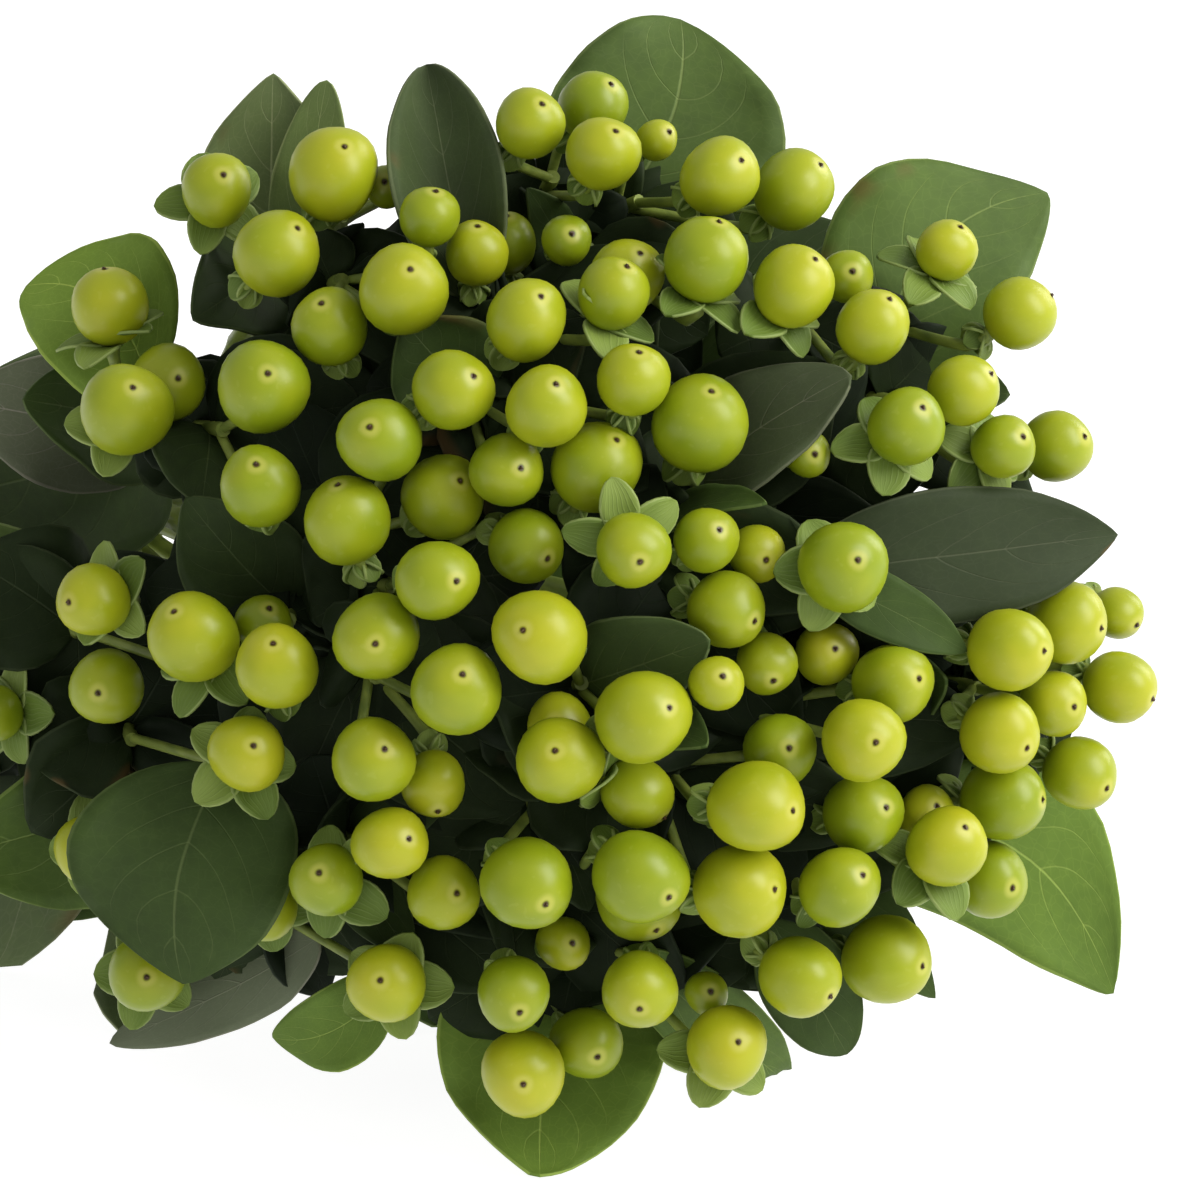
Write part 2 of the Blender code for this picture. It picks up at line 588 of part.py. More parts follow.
def calyx_mesh(berry, leans):
    """Five sepals round a berry's base as one closed star, each leaning at its own angle."""
    bm = bmesh.new()
    axis = berry["axis"]
    base = calyx_place(berry)
    outline = []
    for k, (lean, length) in enumerate(leans):
        outward, along = sepal_directions(berry, k)
        heading = axis * math.cos(lean) + outward * math.sin(lean)
        normal = axis * math.sin(lean) - outward * math.cos(lean)
        wide = base + heading * length * 0.62
        tip = base + heading * length
        half = SEPAL_WIDTH / 2 * min(1, length / SEPAL_LENGTH + 0.1)
        notch_way = unit(outward * math.cos(math.pi / 5) - along * math.sin(math.pi / 5))
        outline.append((base + notch_way * 2.4, axis))
        outline.append((wide - along * half, normal))
        outline.append((tip + along * half * 0.55, normal))
    rims = []
    centres = []
    for sign in (1, -1):
        offset = sign * SEPAL_THICKNESS / 2
        centres.append(bm.verts.new(Vector((base + axis * offset) * MM)))
        rims.append([bm.verts.new(Vector((place + normal * offset) * MM)) for place, normal in outline])
    count = len(outline)
    for k in range(count):
        m = (k + 1) % count
        bm.faces.new((centres[0], rims[0][k], rims[0][m]))
        bm.faces.new((centres[1], rims[1][m], rims[1][k]))
        bm.faces.new((rims[0][k], rims[1][k], rims[1][m]))
        bm.faces.new((rims[0][k], rims[1][m], rims[0][m]))
    bmesh.ops.recalc_face_normals(bm, faces=bm.faces)
    return bm


def calyx_place(berry):
    return berry["middle"] - berry["axis"] * (berry["radius"] * 0.97 + 0.9)


def sepal_directions(berry, k):
    """Outward and sideways directions of a berry's sepal."""
    first = unit(np.cross(berry["axis"], UP))
    second = np.cross(berry["axis"], first)
    half_step = 0.5 if berry["spread"] in TURNED_SPREADS else 0
    angle = 2 * math.pi * (k + half_step) / 5
    outward = first * math.cos(angle) + second * math.sin(angle)
    return outward, np.cross(berry["axis"], outward)


# Leaves and sepals that keep clear of the other stems

def tree_of(pieces):
    """One search tree for a list of closed meshes."""
    vertices = []
    faces = []
    for bm in pieces:
        first = len(vertices)
        bm.verts.index_update()
        vertices += [vertex.co.copy() for vertex in bm.verts]
        faces += [[first + vertex.index for vertex in face.verts] for face in bm.faces]
    return BVHTree.FromPolygons(vertices, faces)


def leaf_choices(leaf_tip, tip_turn):
    """Places to try for a leaf's tip: first as drawn, then further back and to either side."""
    for shift in (0, 4, -4, 8, 13, -8, 18, 24, 30):
        for turn in (0, 1, -1, 2, -2):
            yield leaf_tip - FRONT * shift + tip_turn * turn


def clear_of(candidate, thickness, rows, columns, others, own):
    """Whether a blade with its clearance touches no other stem, and not its own berries."""
    slab = blade_mesh(candidate, thickness + 2 * GAP, rows, columns)
    tree = tree_of([slab])
    slab.free()
    if any(tree.overlap(other) for other in others):
        return False
    outer = blade_mesh(candidate, thickness, tuple(t for t in rows if t > OUTER_PART), columns)
    tree = tree_of([outer])
    outer.free()
    return not any(tree.overlap(other) for other in own)


def sepal_lean(berry, k, others):
    """How far a sepal leans from the berry's axis to be clear of other stems, and its length."""
    axis = berry["axis"]
    outward, _ = sepal_directions(berry, k)
    base = calyx_place(berry) + outward * 0.8
    for fold in (0, 12, -12, 24, 36, 48):
        lean = math.radians(berry["spread"] - fold)
        tip = base + (axis * math.cos(lean) + outward * math.sin(lean)) * SEPAL_LENGTH
        sepal = blade(base, tip, SEPAL_WIDTH, axis, 0, 0)
        if clear_of(sepal, SEPAL_THICKNESS + 0.4, (0, 0.55, 1), (-1, 1), others, []):
            return lean, SEPAL_LENGTH
    return SHORT_SEPAL_LEAN, SHORT_SEPAL


def hidden(leaf):
    """Whether a leaf behind the head stays out of sight when the head is seen from the front."""
    for t, s in ((1, 0), (0.5, 1), (0.5, -1), (0.8, 1), (0.8, -1)):
        place = blade_point(leaf, t, s, 0)[0] - HEAD
        spread = 1 - place @ FRONT / VIEW_DISTANCE
        across = place @ RIGHT / spread
        up = place @ UP / spread
        beyond_left = across < -55 and -50 < up < 38
        if math.hypot(across - 2, up + 2) > HIDE_RADIUS and not beyond_left:
            return False
    return True


def grow_blades(plan, solids):
    """Every leaf and sepal, each placed at its first choice that is clear."""
    trees = {stem: [tree_of([bm]) for bm in pieces] for stem, pieces in solids.items()}

    def add(stem, choices, what):
        others = [tree for name, group in trees.items() if name != stem for tree in group]
        for leaf in choices:
            if clear_of(leaf, LEAF_THICKNESS, LEAF_ROWS, LEAF_COLUMNS, others, trees[stem]):
                bm = blade_mesh(leaf, LEAF_THICKNESS, LEAF_ROWS, LEAF_COLUMNS)
                trees[stem].append(tree_of([bm]))
                solids[stem].append(bm)
                return
        print("no room for a", what, "on", stem)

    for stem, behind, x, y, width in FLOOR_LEAVES:
        base = along_path(plan[stem]["rod"], behind)
        choices = []
        for size in (1, 0.8):
            for move in (0, 6, -6, 12, -12, 18, -18):
                tip = np.array([x + move, y + abs(move), -FLAT_DIP])
                choices.append(blade(base, tip, width * size, BUNDLE_UP, 0, 1))
        add(stem, choices, "leaf on the surface")
    for stem, number, start, across, up, depth, width, roll, arch, bow, cup in LEAVES:
        spray = plan[stem]["sprays"][number]
        base = along_path(spray["path"], max(0, start))
        if start < 0:
            base = base + (spray["berries"][0]["knee"] - base) * -start
        tip = seen(across, up, dome_depth(across, up) + depth)
        swing = unit(np.cross(tip - base, FRONT)) * 3
        phase = (across * 0.7 + up * 0.4) % 6.28
        choices = [blade(base, place, width * size, FRONT, roll, arch, phase, bow, cup)
                   for size in (1, 0.8, 0.6) for place in leaf_choices(tip, swing)]
        add(stem, choices, "leaf")
    for stem, entry in plan.items():
        for spray in entry["sprays"]:
            for berry in spray["berries"]:
                if berry["spread"]:
                    own = trees[stem][berry["piece"]]
                    others = [tree for group in trees.values() for tree in group if tree is not own]
                    bm = calyx_mesh(berry, [sepal_lean(berry, k, others) for k in range(5)])
                    trees[stem].append(tree_of([bm]))
                    solids[stem].append(bm)
    for number, (stem, slot) in enumerate(SLOTS.items()):
        if slot[1] == 0:
            continue
        path = plan[stem]["rod"]
        for level in range(BACK_LEAF_LEVELS):
            behind = 8 + BACK_LEAF_STEP * level + 9 * (number % 3)
            base = along_path(path, behind)
            ahead = unit(base - along_path(path, behind + 6))
            outward = base - (BAND_PLACE + BUNDLE * ((base - BAND_PLACE) @ BUNDLE))
            outward = unit(outward - ahead * (outward @ ahead))
            sideways = np.cross(ahead, outward)
            length = BACK_LEAF_LENGTH - BACK_LEAF_SHRINK * level
            choices = []
            side = 1 if (level + number) % 2 else -1
            for size in (1, 0.8, 0.65, 0.5):
                for lean in (50, 62, 40, 74, 28):
                    for swing in (12, 0, -20, 28, -35, 42, -50):
                        turn = math.radians(swing * side)
                        heading = outward * math.cos(turn) + sideways * math.sin(turn)
                        lift = math.radians(lean)
                        tip = base + (ahead * math.cos(lift) + heading * math.sin(lift)) * length * size
                        leaf = blade(base, tip, BACK_LEAF_WIDTH * size, ahead, phase=level + number)
                        if hidden(leaf):
                            choices.append(leaf)
            add(stem, choices, "back leaf")


# Objects

def material(name, color, roughness):
    made = bpy.data.materials.new(name)
    made.use_nodes = True
    shader = made.node_tree.nodes["Principled BSDF"]
    shader.inputs["Base Color"].default_value = (*color, 1)
    shader.inputs["Roughness"].default_value = roughness
    return made


def object_from(bm, name, collection):
    mesh = bpy.data.meshes.new(name)
    bm.to_mesh(mesh)
    bm.free()
    made = bpy.data.objects.new(name, mesh)
    collection.objects.link(made)
    return made


def fuse(name, pieces):
    """One closed body from a stem's pieces, which overlap at their roots."""
    scene = bpy.context.scene
    rest = bpy.data.collections.new(name + "_pieces")
    scene.collection.children.link(rest)
    body = object_from(pieces[0], name, scene.collection)
    for number, bm in enumerate(pieces[1:]):
        object_from(bm, f"{name}_piece_{number}", rest)
    union = body.modifiers.new("union", "BOOLEAN")
    union.operation = "UNION"
    union.operand_type = "COLLECTION"
    union.collection = rest
    union.solver = "MANIFOLD"
    graph = bpy.context.evaluated_depsgraph_get()
    whole = bpy.data.meshes.new_from_object(body.evaluated_get(graph))
    body.modifiers.clear()
    body.data = whole
    for piece in list(rest.objects):
        bpy.data.objects.remove(piece)
    bpy.data.collections.remove(rest)
    return body


def keep_largest(body):
    """Drop loose scraps and sealed hollows that the union leaves."""
    bm = bmesh.new()
    bm.from_mesh(body.data)
    left = set(bm.verts)
    groups = []
    while left:
        group = {left.pop()}
        front = list(group)
        while front:
            vertex = front.pop()
            for edge in vertex.link_edges:
                other = edge.other_vert(vertex)
                if other in left:
                    left.remove(other)
                    group.add(other)
                    front.append(other)
        groups.append(group)
    groups.sort(key=len)
    for group in groups[:-1]:
        bmesh.ops.delete(bm, geom=list(group), context="VERTS")
    bmesh.ops.dissolve_limit(bm, angle_limit=FLAT_ENOUGH, verts=bm.verts, edges=bm.edges)
    bmesh.ops.triangulate(bm, faces=bm.faces)
    bm.to_mesh(body.data)
    bm.free()


def make_band():
    """Rubber band: a plain ring round the bundle."""
    bm = bmesh.new()
    inner = SLOT_RADIUS[1] + STEM_RADIUS + BAND_CLEARANCE
    outer = inner + BAND_THICKNESS
    corners = ((inner, -1), (outer, -1), (outer, 1), (inner, 1))
    side = np.array([1.0, 0, 0])
    rings = []
    for radius, end in corners:
        ring = []
        for k in range(BAND_SIDES):
            angle = 2 * math.pi * k / BAND_SIDES
            place = BAND_PLACE + BUNDLE * (end * BAND_WIDTH / 2)
            place = place + (side * math.cos(angle) + BUNDLE_UP * math.sin(angle)) * radius
            ring.append(bm.verts.new(Vector(place * MM)))
        rings.append(ring)
    for near, far in zip(rings, rings[1:] + rings[:1]):
        for k in range(BAND_SIDES):
            m = (k + 1) % BAND_SIDES
            bm.faces.new((near[k], near[m], far[m], far[k]))
    bmesh.ops.recalc_face_normals(bm, faces=bm.faces)
    band = object_from(bm, "rubber_band", bpy.context.scene.collection)
    band.data.materials.append(material("rubber", (0.55, 0.38, 0.2), 0.6))
    return band


def main():
    for old in list(bpy.data.objects):
        bpy.data.objects.remove(old)
    plan = lay_out()
    solids = {}
    for stem, entry in plan.items():
        pieces = [rod_mesh(entry["rod"])]
        for spray in entry["sprays"]:
            pieces.append(branch_mesh(spray["fork"], spray["join"]))
            step = unit(spray["join"] - spray["fork"]) * PEDICEL_STEP
            for n, berry in enumerate(spray["berries"]):
                berry["piece"] = len(pieces)
                pieces.append(berry_mesh(berry, spray["fork"] + step * n))
        solids[stem] = pieces
    grow_blades(plan, solids)
    bodies = []
    for stem, pieces in solids.items():
        body = fuse("stem_" + stem, pieces)
        keep_largest(body)
        body.data.materials.clear()
        body.data.materials.append(material(stem + "_green", (0.35, 0.45, 0.06), 0.4))
        body.data.shade_smooth()
        body.data.set_sharp_from_angle(angle=SHARP)
        bodies.append(body)
    bodies.append(make_band())
    corners = [body.matrix_world @ vertex.co for body in bodies for vertex in body.data.vertices]
    low = Vector([min(corner[i] for corner in corners) for i in range(3)])
    high = Vector([max(corner[i] for corner in corners) for i in range(3)])
    shift = Vector((-(low.x + high.x) / 2, -(low.y + high.y) / 2, -low.z))
    for body in bodies:
        for vertex in body.data.vertices:
            vertex.co += shift
    print("triangles", sum(len(body.data.polygons) for body in bodies))


main()
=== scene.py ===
import math
import random

import bmesh
import bpy
import numpy as np
from mathutils import Matrix, Vector
from mathutils.bvhtree import BVHTree


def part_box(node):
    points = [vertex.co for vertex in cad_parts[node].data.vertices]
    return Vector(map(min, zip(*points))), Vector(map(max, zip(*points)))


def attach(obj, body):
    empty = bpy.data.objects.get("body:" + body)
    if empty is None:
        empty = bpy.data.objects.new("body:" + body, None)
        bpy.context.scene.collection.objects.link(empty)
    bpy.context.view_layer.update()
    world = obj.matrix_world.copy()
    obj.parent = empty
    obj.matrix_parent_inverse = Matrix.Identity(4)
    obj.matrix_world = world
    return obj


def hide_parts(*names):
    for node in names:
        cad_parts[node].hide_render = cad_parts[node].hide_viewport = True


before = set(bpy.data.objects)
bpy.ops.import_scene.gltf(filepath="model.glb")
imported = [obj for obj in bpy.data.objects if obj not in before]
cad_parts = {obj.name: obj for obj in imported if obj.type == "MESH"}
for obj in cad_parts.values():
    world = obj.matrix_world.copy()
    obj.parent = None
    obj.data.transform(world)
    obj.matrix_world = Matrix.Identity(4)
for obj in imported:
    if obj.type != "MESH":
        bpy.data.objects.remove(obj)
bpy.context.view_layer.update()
mm = 0.001

# The layout below is in millimetres, with the surface at height 0.
bunch = {
    "headTurn": -25,  # degrees that the berry head turns from straight ahead
    "headRise": 20,  # degrees that it looks up
    "headHeight": 98,
    "viewDistance": 1000,  # the eye that the head was drawn for
    "dome": 80,
    "layerStep": 7,
    "gap": 0.6,
    "pushStep": 0.5,
    "rounds": 240,
    "bandPlace": (12.0, 250.0, 38.2),
    "slope": 10,  # degrees that the bundle falls towards its cut ends
    "stemPitch": 2.45,
    "stemRadius": 2.2,
    "crownRadius": 1.6,
    "branchRadius": 1.2,
    "pedicelRadius": 0.9,
    "pedicelStep": 2.8,
    "branchStep": 7,
    "rodSteps": 6,
    "aheadOfCrown": 60,
    "beforeBand": 80,
    "tailLength": 138,
    "tailStep": 5,
    "tailSplay": 4,
    "crownBack": 46,
    "forkShare": 0.42,
    "kneeReach": 4,
}

# Each stem holds sprays of berries: across and above on the head's face, diameter, where the tip
# lies from the middle, layer from the front, and how wide the sepals spread in degrees, the last
# two 0 where they are left out.
berryTable = {
    "top": [
        [(-10.5, 71.5, 11, 2, 3), (-1, 74, 11, 3, 3, 1), (0.5, 67, 11.5, 2, 3.5)],
        [(18, 63.5, 12.5, 3.5, 2), (29, 61.5, 12.5, 4, 3.5, 1), (8.5, 69, 6.5, 2, 1, 1)],
        [(16, 51, 13, 2, 5.5, 0, 95), (-5, 54, 8, 1, 1, 2)],
    ],
    "top_right": [
        [(41, 41, 11.5, 2.5, 4), (37, 48.5, 8.5, 0.5, 0.5, 1), (29, 47, 12.5, 3, 4, 0, 95)],
        [(52, 52.5, 9.5, 2, 3.5, 0, 95), (63, 43, 11.5, 5, 3)],
        [(46, 26, 12, 2.5, 2.5, 0, 100), (54.5, 31.5, 11, 4, 2.5),
         (60.5, 23, 10, 3, 1.5, 0, 95), (68.5, 23, 11, 4, 1.5, 1)],
    ],
    "right": [
        [(61.5, -7.5, 13, 5, -0.5), (70, -3.5, 13, 5.5, -1, 1), (77.5, -2, 8.5, 3, -2, 2)],
        [(60, -20, 12.5, 4, -2), (68, -15.5, 10.5, 3, -0.5, 1), (78, -13, 11.5, 5, -2, 1)],
        [(60.5, -30, 13, 6, 0), (72, -26, 11.5, 4, -2, 1)],
    ],
    "low_right": [
        [(52, -37, 12.5, 2.5, 3, 0, 95), (58.5, -42, 12, 3.5, -1, 1), (49, -32, 9, 1.5, 1.5, 2)],
        [(39.5, -32, 12.5, 3.5, 1, 1), (36, -43, 12.5, 3.5, 2)],
        [(30, -56.5, 12.5, 4.5, -3), (43, -54, 14, 5.5, -0.5, 1)],
    ],
    "bottom": [
        [(-13, -59, 11.5, 1, -2.5), (-11.5, -71, 13.5, 0.5, -1.5),
         (-2, -66.5, 11.5, 2, -2, 1)],
        [(6, -58.5, 12, 0, -3), (19, -67, 13, 1.5, 1.5, 0, 90), (16, -59, 7, 0.5, 0.5, 2)],
        [(6, -41.5, 14.5, 4, -3), (6, -44.5, 13.5, 2.5, -5, 1), (-5.5, -51.5, 8.5, 1.5, 0.5, 2)],
    ],
    "low_left": [
        [(-41, -42, 11.5, -1, 1, 0, 100), (-50.5, -46, 11, 0, -1, 1, 95)],
        [(-32, -57.5, 12.5, -1, 0.5, 0, 85), (-68, -56, 12.5, 0.5, 0, 1, 90)],
        [(-31.5, -36.5, 11.5, 3, 1), (-23.5, -44, 11.5, 2, 0.5, 1)],
    ],
    "left": [
        [(-61, -5.5, 14, -2.5, 4, 0, 100), (-76, 0, 11.5, -3.5, 0, 0, 80),
         (-100.5, 0, 11.5, -4, 1.5, 1, 90)],
        [(-74, -13, 12, -1, -1, 1), (-91, -17, 9.5, -3.5, 0, 1, 85), (-99, -30, 11.5, -3, -1, 1, 90)],
        [(-53, -23, 12, 1, 1.5, 0, 95), (-76.5, -37.5, 11.5, -1, 0, 1, 100)],
    ],
    "high_left": [
        [(-65, 32.5, 12.5, 2, 0.5, 1), (-71, 28.5, 14.5, 2, 3, 0, 90), (-73.5, 44, 12.5, -0.5, 6, 1, 90)],
        [(-50.5, 32, 14.5, 1, 2), (-51, 17, 12.5, 0, 3)],
    ],
    "top_left": [
        [(-57.5, 61.5, 11.5, 1, 2, 0, 90), (-48.5, 52, 13.5, 3.5, 3.5)],
        [(-40, 64, 14.5, 1.5, 4), (-32, 62, 7, 0, 0.5, 1), (-24.5, 68, 6.5, 0.5, 1, 2)],
        [(-40.5, 41, 12, -1, 3.5), (-29.5, 46.5, 14, 1, 2.5), (-25.5, 57.5, 9.5, 1, 4)],
    ],
    "middle_high": [
        [(-18.5, 52, 10, 0.5, 4), (-14, 53.5, 9.5, 0, 4, 1)],
        [(-11, 42, 12.5, 2.5, 3), (2, 46, 11, 2, 4, 0, 90), (4, 48.5, 11.5, 2, 3, 1)],
        [(-22, 31.5, 12.5, 3.5, 2), (-8, 29, 12.5, 2, 3), (-14, 19.5, 11.5, 2.5, 0.5)],
        [(5, 33, 11, 1, 4), (-0.5, 20, 14, 3, 4)],
    ],
    "middle_left": [
        [(-33, 24, 13, -1, 1.5), (-23.5, 15.5, 13, 3, 2), (-38, 12, 13.5, -1.5, 5.5)],
        [(-24.5, 3, 12.5, 3, 0), (-11, 8, 11.5, 3.5, -2, 2), (-33.5, -5.5, 13.5, 0, -1)],
        [(-48.5, -10, 13, -0.5, 3.5), (-50.5, -3.5, 9, 1, 2.5, 1)],
        [(-21.5, -13.5, 14, 1, 2), (-34, -24, 13, 2, 1.5), (-25, -27.5, 10, 0.5, -4, 1)],
    ],
    "middle_right": [
        [(15, 26.5, 15, 1.5, 5), (31, 22, 7.5, 1, 0, 2)],
        [(5, 7.5, 11.5, 1, -2, 0, 100), (16, 9, 10, 2, 1.5, 1), (23.5, 7, 9, 1.5, -1, 2)],
        [(19, -1.5, 12, 4.5, -1.5, 1), (25, -9.5, 9.5, 1, -2.5, 1), (17.5, -12.5, 8.5, 1, 1)],
        [(36.5, 5, 14, 2, 0.5, 0, 100), (34, -8, 10, 1.5, 0.5, 2)],
    ],
    "middle_low": [
        [(-9, -5.5, 14.5, -2.5, 1), (6.5, -17.5, 14.5, 4, 1.5)],
        [(-6, -24, 13.5, -0.5, 2), (-6, -19, 10.5, -0.5, 1, 2), (5.5, -29, 11, 4, -4, 1, 95)],
        [(-11, -42.5, 14, 3, -2.5)],
        [(23.5, -31, 14.5, 5.5, 0), (27, -22.5, 11.5, 1.5, 0.5, 1),
         (21, -43.5, 14.5, 5.5, 0.5)],
        [(39.5, -21, 13, 1.5, 0), (44, -12.5, 12.5, 4, 0.5, 1)],
    ],
}

for sprays in berryTable.values():
    for row in sprays:
        row[:] = [(*berry, 0, 0)[:7] for berry in row]

# Angle round the band, and 0 inside or 1 outside.
slotTable = {
    "top": (75, 1), "top_right": (35, 1), "right": (-5, 1), "low_right": (-45, 1),
    "bottom": (-85, 1), "low_left": (-125, 1), "left": (-165, 1), "high_left": (155, 1),
    "top_left": (115, 1),
    "middle_high": (90, 0), "middle_left": (180, 0), "middle_right": (0, 0), "middle_low": (-90, 0),
}

# Leaves that show in the head, by stem: spray, where each grows (millimetres behind the fork, or
# below 0 the share of the way from the fork to the first berry's pedicel), tip across and above,
# depth behind the dome, width, roll, arch and tone, then bow, greyness, roundness of the tip and
# cup where they aren't the usual ones. The tone paints in light and shade: it is set to how bright
# each leaf is where it lies, so leaves in shade are coloured darker (painted shade) and lit ones
# brighter (painted light).
usualLeaf = (0, 0, 0.5, 0.12)
leafTable = {
    "top": [
        (1, 6, 12, 87, 14, 38, 0, 4, 0.57, 4, 0.1, 0.85), (1, 20, 30, 66, 14, 18, 30, 3, 0.35),
        (2, 14, -11, 62, 10, 15, -30, 3, 0.35),
    ],
    "top_right": [
        (2, 4, 67, 61, 16, 32, 0, 4, 0.58, -8, 0.05, 0.35), (2, 26, 62, 31, 14, 20, 20, 3, 0.4),
    ],
    "right": [
        (0, 26, 66, -2, 14, 18, -25, 3, 0.3, 0, 0.2, 0.2), (1, 12, 52, -12, 8, 14, -20, 2, 0.45),
        (0, 20, 38, 12, 12, 16, 0, 2, 0.15),
    ],
    "low_right": [
        (0, 0, 77, -59, 14, 30, 0, -3, 0.72, -11, 0, 0.35),
        (2, -0.5, 37, -68, 12, 15, 0, 3, 0.4, 0, 0, 0.8),
        (1, 8, 48, -61.5, 12, 13, 10, 3, 0.45, 0, 0, 0.3),
    ],
    "bottom": [
        (1, 8, -9, -87, -9, 36, 0, -5, 0.8, 2, 0, 0.35),
        (1, -0.7, 27, -76.5, 10, 14, 0, 3, 0.6, 0, 0, 0.6),
    ],
    "low_left": [
        (1, -0.95, -49, -65.5, 6, 13, 0, 3, 0.72, -3),
        (1, -0.4, -73.5, -66.5, 12, 13, 160, 3, 0.5, 0, 0.7, 0.6),
        (2, 8, -23, -36, 8, 11, 0, 2, 0.35), (2, 14, -28, -54, 10, 12, 0, 2, 0.35),
    ],
    "left": [
        (2, -0.9, -62.5, -57.5, -8, 35, 0, 5, 0.41, 4, 0, 0.3),
        (1, 34, -97, -60, 38, 32, 10, 4, 0.52, 0, 0.4), (0, 26, -97, 12, 14, 26, 15, 4, 0.6, 0, 0.15),
        (1, 22, -99, -8, 12, 22, -15, 3, 0.6),
    ],
    "high_left": [
        (0, 34, -96, 30, 16, 24, 10, 4, 0.64, 0, 1, 0.6),
        (0, 0, -86, 47, 12, 26, 0, 3, 0.92, 6, 0, 0.9), (1, 10, -60, 14, 10, 20, 10, 3, 0.3),
    ],
    "top_left": [
        (0, 30, -49, 79, 12, 25, 0, 3, 0.75, 0, 0.6, 0.25),
        (1, 20, -41, 78, 14, 12, 0, 2, 0.75, 0, 0.45, 1.0), (0, 16, -61, 42, 10, 20, 0, 3, 0.35),
    ],
    "middle_high": [
        (0, -0.9, -23, 80, 14, 22, 0, 3, 0.42, 0, 0.2, 0.7, 0.9),
        (2, 2, -27, 43.5, 6, 19, 0, 2, 0.42, 0, 0, 0.6, 0.3),
    ],
    "middle_left": [
        (2, 6, -57, 18, 10, 20, 10, 3, 0.3), (2, 12, -57, 2, 8, 16, 0, 2, 0.35),
        (1, 8, -41, 6, 6, 11, 0, 2, 0.3),
    ],
    "middle_right": [
        (3, -0.8, 77, 4, 10, 21, 0, 4, 0.22, 0, 0.1, 0.3),
        (0, 8, 39, 31, 5, 19, 25, 3, 0.42, 0, 0.4, 1.0, 0.2),
        (1, 10, 25, 14.5, 2, 13, 65, 3, 0.5, 0, 0, 0.3), (3, -0.9, 56, -5, 4, 10, 10, 2, 0.45),
    ],
    "middle_low": [
        (0, 4, 16.5, -6, 4, 17, 0, 3, 0.47, 0, 0.1, 0.9), (3, 12, 16, -22, 8, 13, 60, 3, 0.5),
    ],
}

# Leaves under the head that lie on the surface: stem, how far behind the crown, tip's x and y, width.
floorLeafTable = [
    ("low_right", 24, 52, 46, 28),
    ("low_left", 50, -45, 87, 26),
]

# How far the head reaches round its middle in the photo, every 15 degrees from the right.
reachRound = (74, 70, 72, 70, 58, 74, 78, 72, 70, 80, 76, 98,
              104, 104, 98, 84, 74, 72, 72, 68, 70, 68, 74, 78)
sector = 360 / len(reachRound)

turn = math.radians(bunch["headTurn"])
rise = math.radians(bunch["headRise"])
right = np.array([math.cos(turn), math.sin(turn), 0])
up = np.array([-math.sin(turn) * math.sin(rise), math.cos(turn) * math.sin(rise), math.cos(rise)])
front = np.cross(right, up)
head = np.array([0, 0, bunch["headHeight"]])
slope = math.radians(bunch["slope"])
bundle = np.array([0, math.cos(slope), -math.sin(slope)])
bundleUp = np.array([0, math.sin(slope), math.cos(slope)])
bandPlace = np.array(bunch["bandPlace"])
slotRadius = (bunch["stemPitch"] * math.sqrt(2), bunch["stemPitch"] * (2 + math.sqrt(2)))
stemNames = list(berryTable)

bandLow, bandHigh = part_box("rubber_band")
shift = np.array((bandLow + bandHigh) / 2) / mm - bandPlace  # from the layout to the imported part


def toPart(place):
    return Vector((np.array(place) + shift) * mm)


def lifted(place, lowest):  # no lower than this above the surface
    return np.array([place[0], place[1], max(place[2], lowest)])


def unit(vector):
    return vector / np.linalg.norm(vector)


def seen(across, above, depth):
    # the place that shows at (across, above) on the head's face, this far back
    spread = 1 + depth / bunch["viewDistance"]
    return head + (right * across + up * above) * spread - front * depth


def domeDepth(across, above):
    return (across ** 2 + above ** 2) / (2 * bunch["dome"])


def settleBerries():
    # each berry's middle lies on the dome, and goes straight back until it is clear
    placed = []
    order = []
    for stem, sprays in berryTable.items():
        for spray, row in enumerate(sprays):
            for number, berry in enumerate(row):
                order.append((berry[5], len(order), stem, spray, number, berry))
    places = {}
    for layer, _, stem, spray, number, berry in sorted(order, key=lambda item: item[:2]):
        across, above, diameter = berry[:3]
        radius = diameter / 2
        depth = domeDepth(across, above) + bunch["layerStep"] * layer
        place = seen(across, above, depth)
        while any(np.linalg.norm(place - other) < radius + reach + bunch["gap"]
                  for other, reach in placed):
            depth += bunch["pushStep"]
            place = seen(across, above, depth)
        placed.append((place, radius))
        places[stem, spray, number] = place
    return places


def slotPlace(stem, along, splay=0):
    angle, ring = slotTable[stem]
    angle = math.radians(angle)
    side = np.array([math.cos(angle), 0, 0]) + bundleUp * math.sin(angle)
    return bandPlace + bundle * along + side * (slotRadius[ring] + splay * (0.5 + 0.5 * ring))


def nearestShares(p, u, q, v):
    # shares along two lines, from 0 to 1, where they come nearest
    def share(over, under):
        some = under > 1e-9
        return np.clip(np.where(some, over / np.where(some, under, 1), 0), 0, 1)

    w = p - q
    uu, vv, uv, uw, vw = [(a * b).sum(axis=1) for a, b in ((u, u), (v, v), (u, v), (u, w), (v, w))]
    s = share(uv * vw - vv * uw, uu * vv - uv * uv)
    t = share(uv * s + vw, vv)
    return share(uv * t - uw, uu), t


